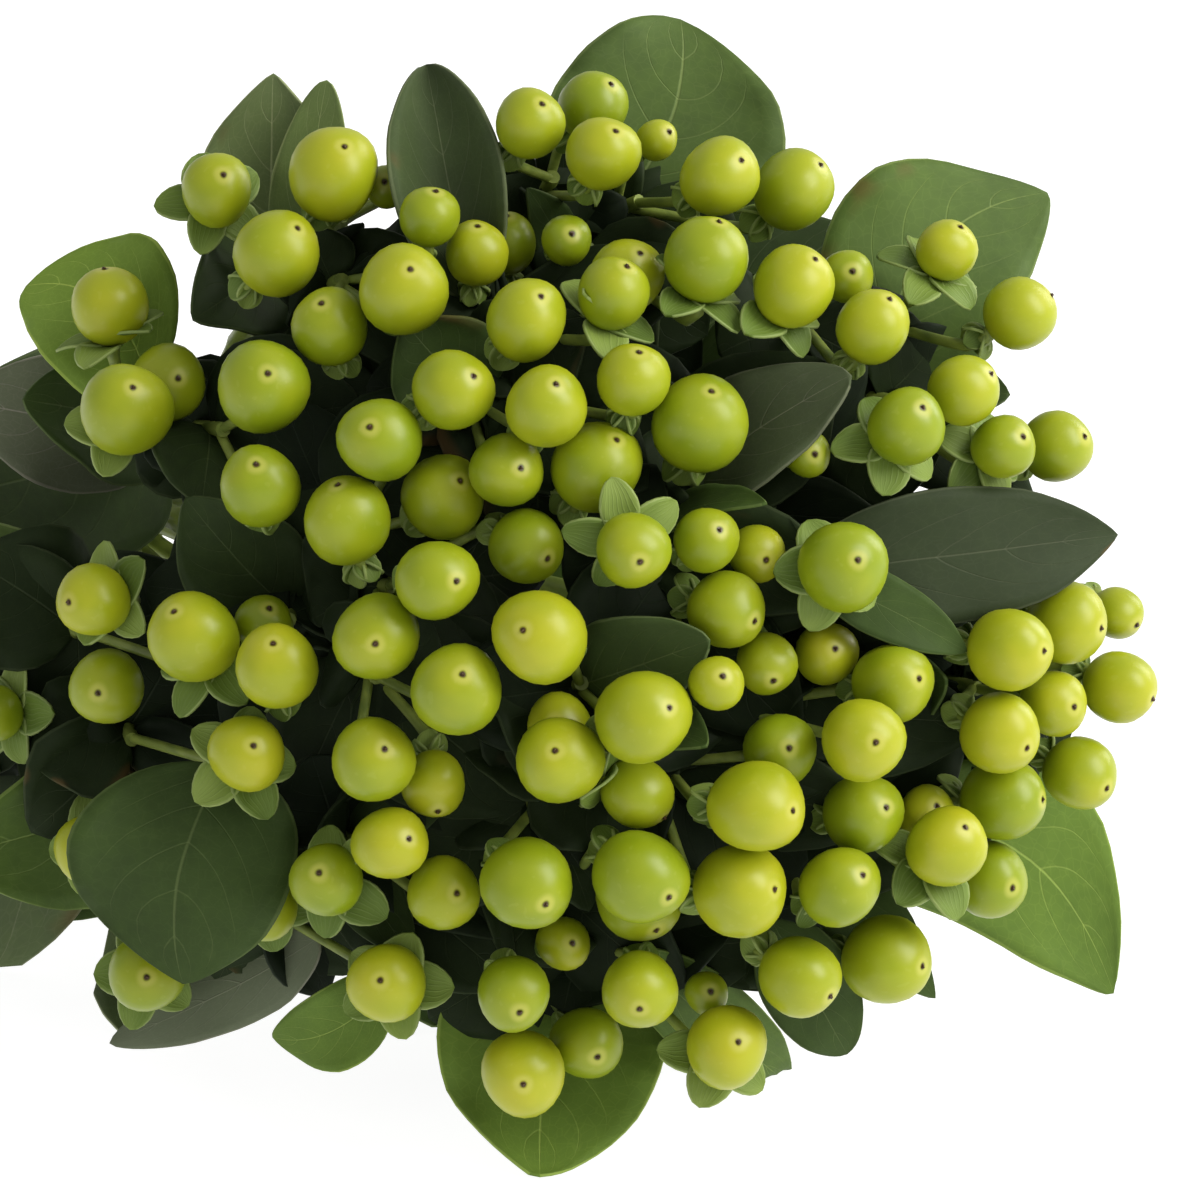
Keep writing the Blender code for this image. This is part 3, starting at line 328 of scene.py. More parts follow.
def spreadOut(points, freedom, sight, bones):
    # move the points apart, a little at a time, until no bones of two stems touch
    points, freedom, sight = [np.array(values) for values in (points, freedom, sight)]
    first, last, radius, stem, berry = [np.array(values) for values in zip(*bones)]
    a, b = np.triu_indices(len(bones), 1)
    shared = (first[a] == first[b]) | (last[a] == last[b])
    shared |= (first[a] == last[b]) | (last[a] == first[b])
    test = ((stem[a] != stem[b]) | berry[a] | berry[b]) & ~shared
    a, b = a[test], b[test]
    eye = seen(0, 0, -bunch["viewDistance"])
    need = radius[a] + radius[b] + bunch["gap"]
    for _ in range(bunch["rounds"]):
        startA, startB = points[first[a]], points[first[b]]
        runA, runB = points[last[a]] - startA, points[last[b]] - startB
        s, t = nearestShares(startA, runA, startB, runB)
        apart = startA + runA * s[:, None] - startB - runB * t[:, None]
        distance = np.maximum(np.linalg.norm(apart, axis=1), 1e-6)
        push = np.clip(need - distance, 0, None)
        if push.max() < 0.02:
            break
        shove = apart / distance[:, None] * (push * 0.5)[:, None]
        move = np.zeros_like(points)
        count = np.full(len(points), 1e-9)
        for ends, share, sign, chosen in ((first, 1 - s, 1, a), (last, s, 1, a),
                                          (first, 1 - t, -1, b), (last, t, -1, b)):
            np.add.at(move, ends[chosen], sign * shove * share[:, None])
            np.add.at(count, ends[chosen], (push > 0) * share)
        move /= np.maximum(count, 0.5)[:, None] ** 0.5
        away = points - eye
        away /= np.linalg.norm(away, axis=1)[:, None]
        back = np.clip((move * away).sum(axis=1), 0, None)
        move[sight] = (away * back[:, None])[sight]
        points += move * freedom[:, None]
    return points


def layOut():
    # the plan of every stem: its rod, forks and berries, as places
    berries = settleBerries()
    points, freedom, sight, bones = [], [], [], []

    def point(place, free, onSight=False):
        points.append(place)
        freedom.append(free)
        sight.append(onSight)
        return len(points) - 1

    plan = {}
    for stem, sprays in berryTable.items():
        middles = [np.mean([berries[stem, k, n] for n in range(len(row))], axis=0)
                   for k, row in enumerate(sprays)]
        middle = np.mean(middles, axis=0)
        crownPlace = middle + unit(bandPlace - middle) * bunch["crownBack"]
        crown = point(crownPlace, 0.3)
        slot = slotPlace(stem, 0)
        rod = [crown]
        ahead = crownPlace + unit(bandPlace - crownPlace) * bunch["aheadOfCrown"]
        before = slot - bundle * bunch["beforeBand"]
        steps = bunch["rodSteps"]
        for step in range(1, steps):
            t = step / steps
            place = ((1 - t) ** 3 * crownPlace + 3 * (1 - t) ** 2 * t * ahead
                     + 3 * (1 - t) * t ** 2 * before + t ** 3 * slot)
            rod.append(point(place, 0.3 if step < steps - 1 else 0))
        rod.append(point(slot, 0))
        length = bunch["tailLength"] - bunch["tailStep"] * ((stemNames.index(stem) + 2) % 3)
        rod.append(point(slotPlace(stem, length, bunch["tailSplay"]), 0))
        for first, last in zip(rod, rod[1:]):
            bones.append((first, last, bunch["stemRadius"], stem, False))
        plan[stem] = {"rod": rod, "sprays": []}
        for k, row in enumerate(sprays):
            fork = point(middles[k] + (crownPlace - middles[k]) * bunch["forkShare"], 0.6)
            join = crown
            if k:
                join = point(crownPlace + unit(ahead - crownPlace) * bunch["branchStep"] * k, 0.3)
            bones.append((fork, join, bunch["branchRadius"], stem, False))
            members = []
            for n, berry in enumerate(row):
                radius = berry[2] / 2
                tip = np.array(berry[3:5]) / (radius * 1.02)
                axis = unit(right * tip[0] + up * tip[1] + front * math.sqrt(max(0.05, 1 - tip @ tip)))
                place = berries[stem, k, n]
                middlePoint = point(place, 1, True)
                knee = point(place - axis * (radius + bunch["kneeReach"]), 1)
                bones.append((middlePoint, middlePoint, radius, stem, True))
                bones.append((middlePoint, knee, bunch["pedicelRadius"], stem, False))
                bones.append((knee, fork, bunch["pedicelRadius"], stem, False))
                members.append({"middle": middlePoint, "knee": knee, "radius": radius, "axis": axis,
                                "spread": berry[6]})
            plan[stem]["sprays"].append({"fork": fork, "berries": members})
    points = spreadOut(points, freedom, sight, bones)
    for entry in plan.values():
        entry["rod"] = [points[index] for index in entry["rod"]]
        crown = entry["rod"][0]
        down = unit(entry["rod"][1] - crown)
        for k, spray in enumerate(entry["sprays"]):
            spray["fork"] = points[spray["fork"]]
            spray["join"] = crown + down * bunch["branchStep"] * k
            spray["path"] = [spray["fork"], spray["join"]] + entry["rod"][1:]
            for berry in spray["berries"]:
                berry["middle"] = points[berry["middle"]]
                berry["knee"] = points[berry["knee"]]
    return plan


def alongPath(path, distance):
    for first, last in zip(path, path[1:]):
        step = np.linalg.norm(last - first)
        if distance <= step:
            return first + (last - first) * distance / step
        distance -= step
    return path[-1]


print("laying out the bunch")
plan = layOut()


# Materials

class Wire:  # a shader socket, so that maths on it is written as a plain expression
    def __init__(self, shader, socket):
        self.shader = shader
        self.socket = socket

    def maths(self, operation, *values):
        return self.shader.node("Math", {"operation": operation}, dict(enumerate(values)))

    def __add__(self, other):
        return self.maths("ADD", self, other)

    def __sub__(self, other):
        return self.maths("SUBTRACT", self, other)

    def __rsub__(self, other):
        return self.maths("SUBTRACT", other, self)

    def __mul__(self, other):
        return self.maths("MULTIPLY", self, other)

    __radd__ = __add__
    __rmul__ = __mul__

    def size(self):
        return self.maths("ABSOLUTE", self)

    def share(self):
        return self.maths("FRACT", self)

    def between(self, low, high):  # smoothly 0 at low and 1 at high
        return self.shader.node("MapRange", {"interpolation_type": "SMOOTHSTEP"},
                                {"Value": self, "From Min": low, "From Max": high})


class Shader:  # one material; every node but the maths comes from the one method
    def __init__(self, name, roughness, specular=0.5):
        self.material = bpy.data.materials.new(name)
        self.material.use_nodes = True
        self.tree = self.material.node_tree
        self.surface = self.tree.nodes["Principled BSDF"].inputs
        self.surface["Roughness"].default_value = roughness
        self.surface["Specular IOR Level"].default_value = specular

    def node(self, kind, settings=None, sockets=None, output=0):
        made = self.tree.nodes.new("ShaderNode" + kind)
        for name, value in (settings or {}).items():
            if name == "stops":
                elements = made.color_ramp.elements
                while len(elements) < len(value):
                    elements.new(0.5)
                for element, (position, color) in zip(elements, value):
                    element.position = position
                    element.color = (*color, 1)
            else:
                setattr(made, name, value)
        for name, value in (sockets or {}).items():
            self.feed(made.inputs[name], value)
        return Wire(self, made.outputs[output])

    def feed(self, socket, value):
        if isinstance(value, Wire):
            self.tree.links.new(value.socket, socket)
        else:
            socket.default_value = value

    def mix(self, factor, first, second, way="MIX"):
        first, second = [value if isinstance(value, Wire) else (*value, 1) for value in (first, second)]
        return self.node("Mix", {"data_type": "RGBA", "blend_type": way},
                         {0: factor, 6: first, 7: second}, 2)

    def ramp(self, factor, stops):
        return self.node("ValToRGB", {"stops": stops}, {"Fac": factor})

    def attribute(self, name):
        return self.node("Attribute", {"attribute_name": name}, output="Fac")

    def flatPlace(self):  # the UV map, and its two numbers
        uv = self.node("UVMap", {"uv_map": "UVMap"})
        return uv, *[self.node("SeparateXYZ", sockets={0: uv}, output=name) for name in "XY"]

    def noise(self, scale, detail=3, stretch=(1, 1, 1)):
        place = self.node("TexCoord", output="Object")
        if stretch != (1, 1, 1):
            place = self.node("Mapping", sockets={"Vector": place, "Scale": stretch})
        return self.node("TexNoise", sockets={"Vector": place, "Scale": scale, "Detail": detail})

    def finish(self, color, height, strength, distance):
        bumped = self.node("Bump", sockets={"Height": height, "Strength": strength, "Distance": distance})
        self.feed(self.surface["Base Color"], color)
        self.feed(self.surface["Normal"], bumped)
        return self.material


berryLook = {
    "stops": [(0.0, (0.14, 0.215, 0.005)), (0.35, (0.24, 0.305, 0.006)), (0.65, (0.35, 0.385, 0.009)),
              (1.0, (0.48, 0.455, 0.016))],  # greenest to yellowest
    "roughness": 0.38,
    "ring": (0.55, 0.53, 0.11),
    "ringShare": 0.5,
    "brown": (0.06, 0.03, 0.01),
    "brownReach": 0.3,  # millimetres from the tip
}


def berrySkin():
    skin = Shader("berrySkin", berryLook["roughness"], 0.4)
    reach = skin.attribute("reach")
    mottle = skin.noise(130, 2)
    fine = skin.noise(900, 0)
    tone = skin.attribute("tone") + (mottle - 0.5) * 0.5 + (1 - reach.between(2, 9)) * 0.12
    color = skin.ramp(tone, berryLook["stops"])
    ring = reach.between(0.5, 0.9) * (1 - reach.between(1.0, 2.2))
    color = skin.mix(ring * berryLook["ringShare"], color, berryLook["ring"])
    color = skin.mix(1 - reach.between(berryLook["brownReach"], 0.8), color, berryLook["brown"])
    color = skin.mix(fine.between(0.7, 0.78) * 0.05, color, (0.6, 0.62, 0.2))
    skin.feed(skin.surface["Roughness"], 0.3 + mottle * 0.16)
    return skin.finish(color, mottle, 0.22, 0.0004)


leafLook = {
    # the darkest stops are painted shade: near-black green for leaves deep inside the head
    "top": [(0.0, (0.008, 0.014, 0.006)), (0.3, (0.026, 0.042, 0.013)), (0.5, (0.052, 0.088, 0.02)),
            (0.7, (0.1, 0.165, 0.028)), (1.0, (0.2, 0.31, 0.045))],
    "under": [(0.0, (0.03, 0.045, 0.025)), (0.4, (0.09, 0.125, 0.06)), (0.7, (0.16, 0.22, 0.1)),
              (1.0, (0.24, 0.33, 0.12))],
    "topVein": (2.4, 2.0, 2.6),  # how much brighter the veins are than the leaf
    "underVein": (1.8, 1.6, 1.8),
    "grey": (0.15, 0.155, 0.115),
    "mark": (0.13, 0.07, 0.025),
    "sideVeins": 5,
    "slant": 0.2,
    "sweep": 0.34,
    "cells": (17, 26, 1),  # of the net between the veins
}


def leafSkin(side):
    skin = Shader("leaf" + side.capitalize(), 0.58 if side == "top" else 0.7, 0.1)
    uv, u, v = skin.flatPlace()
    wander = skin.noise(60, 1) - 0.5
    across = ((u - 0.5) * 2 + wander * 0.05).size()
    midrib = 1 - across.between(0.004, 0.022)
    climb = v - across * leafLook["slant"] - across * across * leafLook["sweep"] + wander * 0.14
    climb = climb * leafLook["sideVeins"]
    ribs = ((climb.share() - 0.5).size() * 2).between(0.93, 0.995) * (1 - across.between(0.55, 0.85))
    cells = skin.node("Mapping", sockets={"Vector": uv, "Scale": leafLook["cells"]})
    web = skin.node("TexVoronoi", {"feature": "DISTANCE_TO_EDGE"}, {"Vector": cells, "Scale": 1.0},
                    "Distance")
    net = 1 - web.between(0.0, 0.07)
    patch = skin.noise(45, 2)
    fine = skin.noise(500, 0)
    tone = skin.attribute("tone") + (patch - 0.5) * 0.22 + (fine - 0.5) * 0.06
    color = skin.ramp(tone, leafLook[side])
    color = skin.mix(skin.attribute("grey") * 0.75, color, leafLook["grey"])
    bright = skin.mix(1.0, color, leafLook[side + "Vein"], "MULTIPLY")
    lines = net * 0.1 + ribs * 0.4 + midrib * 0.75 + across.between(0.965, 0.99) * 0.6
    color = skin.mix(lines, color, bright)
    blotch = patch.between(0.64, 0.7) * across.between(0.7, 0.95)
    color = skin.mix(blotch * 0.5, color, leafLook["mark"])
    sunk = -0.5 if side == "top" else 0.5
    return skin.finish(color, ribs * sunk * 0.7 + midrib * sunk + patch * 0.6, 0.45, 0.0005)


sepalLook = {
    "stops": [(0.0, (0.05, 0.09, 0.015)), (0.5, (0.13, 0.2, 0.03)), (1.0, (0.25, 0.33, 0.07))],
    "vein": (0.36, 0.44, 0.16),
    "length": 9.5,
    "width": 7.0,
    "thickness": 0.45,
    "short": 3.4,
    "shortLean": math.radians(60),
}


def sepalSkin():
    skin = Shader("sepalGreen", 0.55, 0.25)
    uv, u, v = skin.flatPlace()
    fan = (u - 0.5) * (0.7 + v * 0.3) * 9 + (skin.noise(300, 0) - 0.5) * 1.4
    veins = ((fan.share() - 0.5).size() * 2).between(0.6, 1.0)
    rim = ((u - 0.5).size() * 2).between(0.88, 0.99)
    tone = skin.attribute("tone") + (skin.noise(220, 1) - 0.5) * 0.4 + v * 0.1
    color = skin.ramp(tone, sepalLook["stops"])
    color = skin.mix(veins * 0.1, color, sepalLook["vein"])
    color = skin.mix(rim * 0.5, color, sepalLook["vein"])
    return skin.finish(color, veins, 0.3, 0.0003)


twigLook = {
    "name": "greenTwig",
    "roughness": 0.45,
    "grain": (1.0, 4, (500, 120, 500)),  # size, detail and stretch
    "stops": [(0.3, (0.13, 0.18, 0.03)), (0.7, (0.27, 0.33, 0.06))],
    "relief": 0.3,
}

rubberLook = {
    "name": "bandRubber",
    "roughness": 0.55,
    "grain": (400, 4),
    "stops": [(0.3, (0.42, 0.24, 0.1)), (0.7, (0.56, 0.36, 0.17))],
    "relief": 0.25,
}


def grainSkin(look):
    skin = Shader(look["name"], look["roughness"], 0.4)
    grain = skin.noise(*look["grain"])
    return skin.finish(skin.ramp(grain, look["stops"]), grain, look["relief"], 0.0003)


def barkSkin():
    skin = Shader("stemBark", 0.55, 0.35)
    streak = skin.noise(1.0, 5, (700, 30, 700))
    patch = skin.noise(30, 3)
    color = skin.ramp(streak * 0.6 + patch * 0.4, [(0.3, (0.12, 0.06, 0.03)), (0.48, (0.2, 0.13, 0.05)),
                                                   (0.66, (0.24, 0.22, 0.07))])
    pores = skin.noise(1.0, 2, (900, 500, 900)).between(0.66, 0.72)
    color = skin.mix(pores * 0.4, color, (0.4, 0.32, 0.18))
    return skin.finish(color, streak + pores * 0.6, 0.45, 0.0004)


def cutSkin():
    skin = Shader("cutEnd", 0.75, 0.25)
    rim = skin.attribute("rim")
    grain = skin.noise(1500, 3)
    color = skin.ramp(rim + (grain - 0.5) * 0.12, [(0.12, (0.3, 0.24, 0.13)), (0.26, (0.58, 0.55, 0.36)),
                                                   (0.8, (0.5, 0.5, 0.27)), (0.93, (0.14, 0.12, 0.04))])
    return skin.finish(color, grain, 0.4, 0.0003)


print("making the materials")
skins = {"berry": berrySkin(), "leafTop": leafSkin("top"), "leafUnder": leafSkin("under"),
         "sepal": sepalSkin(), "twig": grainSkin(twigLook), "bark": barkSkin(), "cut": cutSkin(),
         "rubber": grainSkin(rubberLook)}


# Pieces

def startMesh(*layers):
    bm = bmesh.new()
    bm.loops.layers.uv.new("UVMap")
    return bm, [bm.verts.layers.float.new(name) for name in layers]


def addObject(name, data, *looks):
    for look in looks:
        data.materials.append(skins[look])
    made = bpy.data.objects.new(name, data)
    bpy.context.scene.collection.objects.link(made)
    return made


def finish(bm, name, looks, nodes):
    mesh = bpy.data.meshes.new(name)
    for face in bm.faces:
        face.smooth = True
    bm.to_mesh(mesh)
    bm.free()
    made = addObject(name, mesh, *looks)
    settle(made, nodes)
    return made


def settle(made, nodes):
    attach(made, "root")
    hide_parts(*nodes)


def thicken(made, thickness):
    wall = made.modifiers.new("thickness", "SOLIDIFY")
    wall.thickness = thickness * mm
    wall.offset = 0
    return wall


def treeOf(node):
    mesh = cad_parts[node].data
    return BVHTree.FromPolygons([vertex.co for vertex in mesh.vertices],
                                [polygon.vertices for polygon in mesh.polygons])


def strayFrom(tree, places):
    # how far the worst of these places lies from the stem's solid, in millimetres
    return max(tree.find_nearest(toPart(place))[3] for place in places) / mm


def denser(t, share):
    # the same share of the way, with more of the steps near both ends
    return t * (1 - share) + (1 - math.cos(math.pi * t)) / 2 * share


berryShape = {
    "around": 24,
    "along": 15,
    "blunt": 0.04,  # how three-sided the berry is
    "flat": 0.04,  # how much broader it is one way than the other
    "square": 0.05,  # how full its shoulders are
    "lean": 0.07,  # how far the tip may stand to one side
    "length": (1.0, 1.07),
    "tipTaper": 0.06,
    "baseTaper": 0.04,
    "dent": 0.03,  # round the tip
    "dentReach": 0.16,
    "tone": (0.25, 0.7),
    "stub": 0.5,  # radius of the dry style at the tip
    "stubHeight": 0.5,
}


def addBerry(bm, layers, berry, draw):
    tone, reach = layers
    axis = Vector(berry["axis"])
    turnTo = axis.to_track_quat("Z", "Y").to_matrix().to_4x4()
    phase = draw.uniform(0, 6.28)
    shade = draw.uniform(*berryShape["tone"])
    length = draw.uniform(*berryShape["length"])
    flat = draw.uniform(0, berryShape["flat"])
    leanX, leanY = [draw.uniform(-1, 1) * berryShape["lean"] for _ in range(2)]
    made = bmesh.ops.create_uvsphere(bm, u_segments=berryShape["around"],
                                     v_segments=berryShape["along"], radius=1)
    radius = berry["radius"]
    middle = Vector(berry["middle"])
    for vertex in made["verts"]:
        x, y, z = vertex.co
        angle = math.atan2(y, x)
        fall = math.acos(max(-1, min(1, z)))
        lobes = 0.985 + berryShape["blunt"] * math.cos(3 * angle + phase) * (0.5 + 0.5 * max(0, z))
        lobes += flat * math.cos(2 * angle + phase * 2) + berryShape["square"] * math.sin(2 * fall) ** 2
        taper = 1 - berryShape["tipTaper"] * max(0, z) ** 1.5 - berryShape["baseTaper"] * max(0, -z)
        dent = berryShape["dent"] * math.exp(-(fall / berryShape["dentReach"]) ** 2)
        vertex[tone] = shade
        vertex[reach] = fall * radius
        bend = max(0, z) ** 2
        local = Vector((x * lobes * taper + leanX * bend, y * lobes * taper + leanY * bend,
                        z * length - dent))
        vertex.co = toPart(middle + (turnTo @ local) * radius)
    tip = middle + turnTo @ Vector((leanX, leanY, length - berryShape["dent"] * 1.5)) * radius
    stub = bmesh.ops.create_cone(bm, cap_ends=True, segments=6, radius1=1.0, radius2=0.4, depth=1)
    lean = Vector((draw.uniform(-0.4, 0.4), draw.uniform(-0.4, 0.4), 1))
    for vertex in stub["verts"]:
        x, y, z = vertex.co
        star = 1 if math.cos(3 * math.atan2(y, x) + phase) > 0 else 0.4
        flat = Vector((x, y, 0)) * berryShape["stub"] * star
        vertex[tone] = shade
        vertex[reach] = 0
        vertex.co = toPart(tip + turnTo @ (flat + lean * (z + 0.5) * berryShape["stubHeight"]))


def makeBerries():
    for stem, entry in plan.items():
        draw = random.Random("berries " + stem)
        bm, layers = startMesh("tone", "reach")
        for spray in entry["sprays"]:
            for berry in spray["berries"]:
                addBerry(bm, layers, berry, draw)
        finish(bm, "berries_" + stem, ["berry"], ["stem_" + stem])


calyxShape = {
    "folds": (0, 12, -12, 24, 36, 48),
    "hiddenLean": (138, 160),
    "columns": 6,
    "rows": 9,
    "arch": 0.1,
    "cup": 0.22,
    "turnedSpreads": (85, 95),
}


def calyxPlace(berry):
    return berry["middle"] - berry["axis"] * (berry["radius"] * 0.97 + 0.9)


def sepalDirections(berry, k):
    first = unit(np.cross(berry["axis"], up))
    second = np.cross(berry["axis"], first)
    half = 0.5 if berry["spread"] in calyxShape["turnedSpreads"] else 0
    angle = 2 * math.pi * (k + half) / 5
    outward = first * math.cos(angle) + second * math.sin(angle)
    return outward, np.cross(berry["axis"], outward)


def sepalLean(berry, k, tree):
    # the lean at which the sepal lies on the stem's solid, and its length
    base = calyxPlace(berry)
    outward, along = sepalDirections(berry, k)
    short = (sepalLook["shortLean"], sepalLook["short"])
    best = (9, *short)
    for fold in calyxShape["folds"]:
        lean = math.radians(berry["spread"] - fold)
        heading = berry["axis"] * math.cos(lean) + outward * math.sin(lean)
        tip = base + heading * sepalLook["length"]
        stray = strayFrom(tree, [tip + along * 1.8, base + heading * 5.9 - along * 3.2])
        best = min(best, (stray, lean, sepalLook["length"]))
    return best[1:] if best[0] < 1.2 else short


def addSepal(bm, layers, berry, k, lean, length, draw):
    tone = layers[0]
    base = calyxPlace(berry) + berry["axis"] * 0.3
    outward, along = sepalDirections(berry, k)
    axis = berry["axis"]
    lean += draw.uniform(-0.08, 0.08)
    heading = axis * math.cos(lean) + outward * math.sin(lean)
    normal = axis * math.sin(lean) - outward * math.cos(lean)
    shade = draw.uniform(0.25, 0.8)
    width = sepalLook["width"] * min(1, length / sepalLook["length"] + 0.1) * draw.uniform(0.88, 1.12)
    length = length * draw.uniform(0.86, 1.04)
    sway = draw.uniform(-0.12, 0.12)
    made = bmesh.ops.create_grid(bm, x_segments=calyxShape["columns"], y_segments=calyxShape["rows"],
                                 size=1, calc_uvs=True)
    for vertex in made["verts"]:
        s, t = vertex.co.x, denser(vertex.co.y / 2 + 0.5, 0.8)
        spoon = math.sin(math.pi * t ** 0.95) ** 0.52 if 0 < t < 1 else 0
        spoon = max(spoon, 0.36 * (1 - t) ** 0.5)
        half = width / 2 * spoon
        lift = calyxShape["cup"] * half * s * s + calyxShape["arch"] * length * 4 * t * (1 - t)
        place = base + heading * length * t + along * (s * half + sway * length * t * t) + normal * lift
        vertex[tone] = shade
        vertex.co = toPart(lifted(place, 0.4))
    bmesh.ops.remove_doubles(bm, verts=made["verts"], dist=1e-6)


def makeCalyxes():
    for stem, entry in plan.items():
        draw = random.Random("calyxes " + stem)
        tree = treeOf("stem_" + stem)
        bm, layers = startMesh("tone")
        for spray in entry["sprays"]:
            for berry in spray["berries"]:
                for k in range(5):
                    if berry["spread"]:
                        lean, length = sepalLean(berry, k, tree)
                    else:
                        lean = math.radians(draw.uniform(*calyxShape["hiddenLean"]))
                        length = sepalLook["length"] * 0.55 * min(1, berry["radius"] / 6.5)
                    addSepal(bm, layers, berry, k, lean, length, draw)
        made = finish(bm, "calyxes_" + stem, ["sepal"], ["stem_" + stem])
        thicken(made, sepalLook["thickness"])


leafShape = {
    "columns": 10,
    "rows": 22,
    "thickness": 0.5,
    "ripple": 0.12,
    "fineRipple": 0.03,
    "blunt": 0.55,
}


def blade(base, tip, width, facing, roll=0, arch=3, phase=0.0, bow=0, cup=0.12, looks=(0.4, 0, 0.5)):
    run = tip - base
    side = unit(np.cross(unit(run), facing))
    face = np.cross(side, unit(run))
    angle = math.radians(roll)
    side, face = (side * math.cos(angle) + face * math.sin(angle),
                  face * math.cos(angle) - side * math.sin(angle))
    return {"base": base, "tip": tip, "width": width, "side": side, "face": face, "arch": arch,
            "phase": phase, "bow": bow, "cup": cup, "tone": looks[0], "grey": looks[1], "round": looks[2]}


def halfWidth(leaf, t):
    broad = leaf["width"] / 2 * math.sin(math.pi * min(1, t) ** 0.8) ** leafShape["blunt"]
    if t <= 0.66:
        return broad
    edge = leaf["width"] / 2 * math.sin(math.pi * 0.66 ** 0.8) ** leafShape["blunt"]
    pointed = edge * (1 - ((t - 0.66) / 0.34) ** 1.35)
    return pointed + (broad - pointed) * leaf["round"]


def bladePoint(leaf, t, s, floor=0.45, fine=0.0):
    middle = (leaf["base"] + leaf["tip"]) / 2 + leaf["face"] * leaf["arch"] * 2
    middle = middle + leaf["side"] * leaf["bow"] * 2
    place = (1 - t) ** 2 * leaf["base"] + 2 * (1 - t) * t * middle + t * t * leaf["tip"]
    half = halfWidth(leaf, t)
    ripple = math.sin(3 * math.pi * t + leaf["phase"] + (1.4 if s > 0 else 0))
    lift = s * s * half * (leaf["cup"] + leafShape["ripple"] * ripple)
    lift += fine * abs(s) ** 3 * half * math.sin(9 * math.pi * t + leaf["phase"] * 3 + 2 * s)
    place = place + leaf["side"] * s * half + leaf["face"] * lift
    return lifted(place, floor)


def leafChoices(tip, swing):
    for back in (0, 4, -4, 8, 13, -8, 18, 24, 30):
        for turned in (0, 1, -1, 2, -2):
            yield tip - front * back + swing * turned


def bestLeaf(tree, choices, limit=1.6):
    # the choice that lies on the stem's solid
    best = None
    for leaf in choices:
        stray = strayFrom(tree, [bladePoint(leaf, t, s)
                                 for t, s in ((1, 0), (0.28, 1), (0.28, -1), (0.66, 1), (0.66, -1))])
        if best is None or stray < best[0]:
            best = (stray, leaf)
        if stray < 0.6:
            break
    return best[1] if best and best[0] < limit else None


def addLeaf(bm, layers, leaf, columns, rows):
    tone, grey = layers
    made = bmesh.ops.create_grid(bm, x_segments=columns, y_segments=rows, size=1, calc_uvs=True)
    uv = bm.loops.layers.uv["UVMap"]
    for face in {face for vertex in made["verts"] for face in vertex.link_faces}:
        for loop in face.loops:
            loop[uv].uv.y = denser(loop[uv].uv.y, 0.7)
    for vertex in made["verts"]:
        s, t = vertex.co.x, denser(vertex.co.y / 2 + 0.5, 0.7)
        vertex[tone] = leaf["tone"]
        vertex[grey] = leaf["grey"]
        vertex.co = toPart(bladePoint(leaf, t, s, 0.5, leafShape["fineRipple"]))
    bmesh.ops.remove_doubles(bm, verts=made["verts"], dist=1e-6)


backLeaf = {
    "step": 32,
    "length": 58,
    "shrink": 5,
    "width": 34,
    "levels": 4,
    "sizes": (1, 0.8, 0.65, 0.5),
    "leans": (50, 62, 40, 74, 28),
    "swings": (12, 0, -20, 28, -35, 42, -50),
}

fillLeaf = {
    "width": 21,
    "depth": (14, 36),
    # painted shade: the fill leaves take the darkest tones, so the inside of the head reads as deep shade
    "tone": (0.0, 0.2),
    "reach": 25,
    "margin": 3,
}


everyBerry = [berry for entry in plan.values() for spray in entry["sprays"] for berry in spray["berries"]]
berryMiddles = np.array([berry["middle"] for berry in everyBerry])
berryReaches = np.array([berry["radius"] * 1.03 for berry in everyBerry])


def insideHead(leaf, margin):
    # whether the leaf stays within the head's outline, seen from the front
    for t, s in ((1, 0), (0.8, 1), (0.8, -1), (0.5, 1), (0.5, -1), (0.25, 1), (0.25, -1)):
        place = bladePoint(leaf, t, s) - head
        spread = 1 - place @ front / bunch["viewDistance"]
        across, above = place @ right / spread, place @ up / spread
        sectors = math.degrees(math.atan2(above, across)) % 360 / sector
        near, far = [reachRound[(int(sectors) + step) % len(reachRound)] for step in (0, 1)]
        if math.hypot(across, above) > near + (far - near) * (sectors % 1) - margin:
            return False
    return True


def clearOfBerries(leaf):
    # whether the outer part of the leaf passes through no berry
    for t in (0.4, 0.55, 0.7, 0.85, 1):
        for s in (-0.9, -0.4, 0.4, 0.9):
            if (np.linalg.norm(berryMiddles - bladePoint(leaf, t, s), axis=1) < berryReaches).any():
                return False
    return True


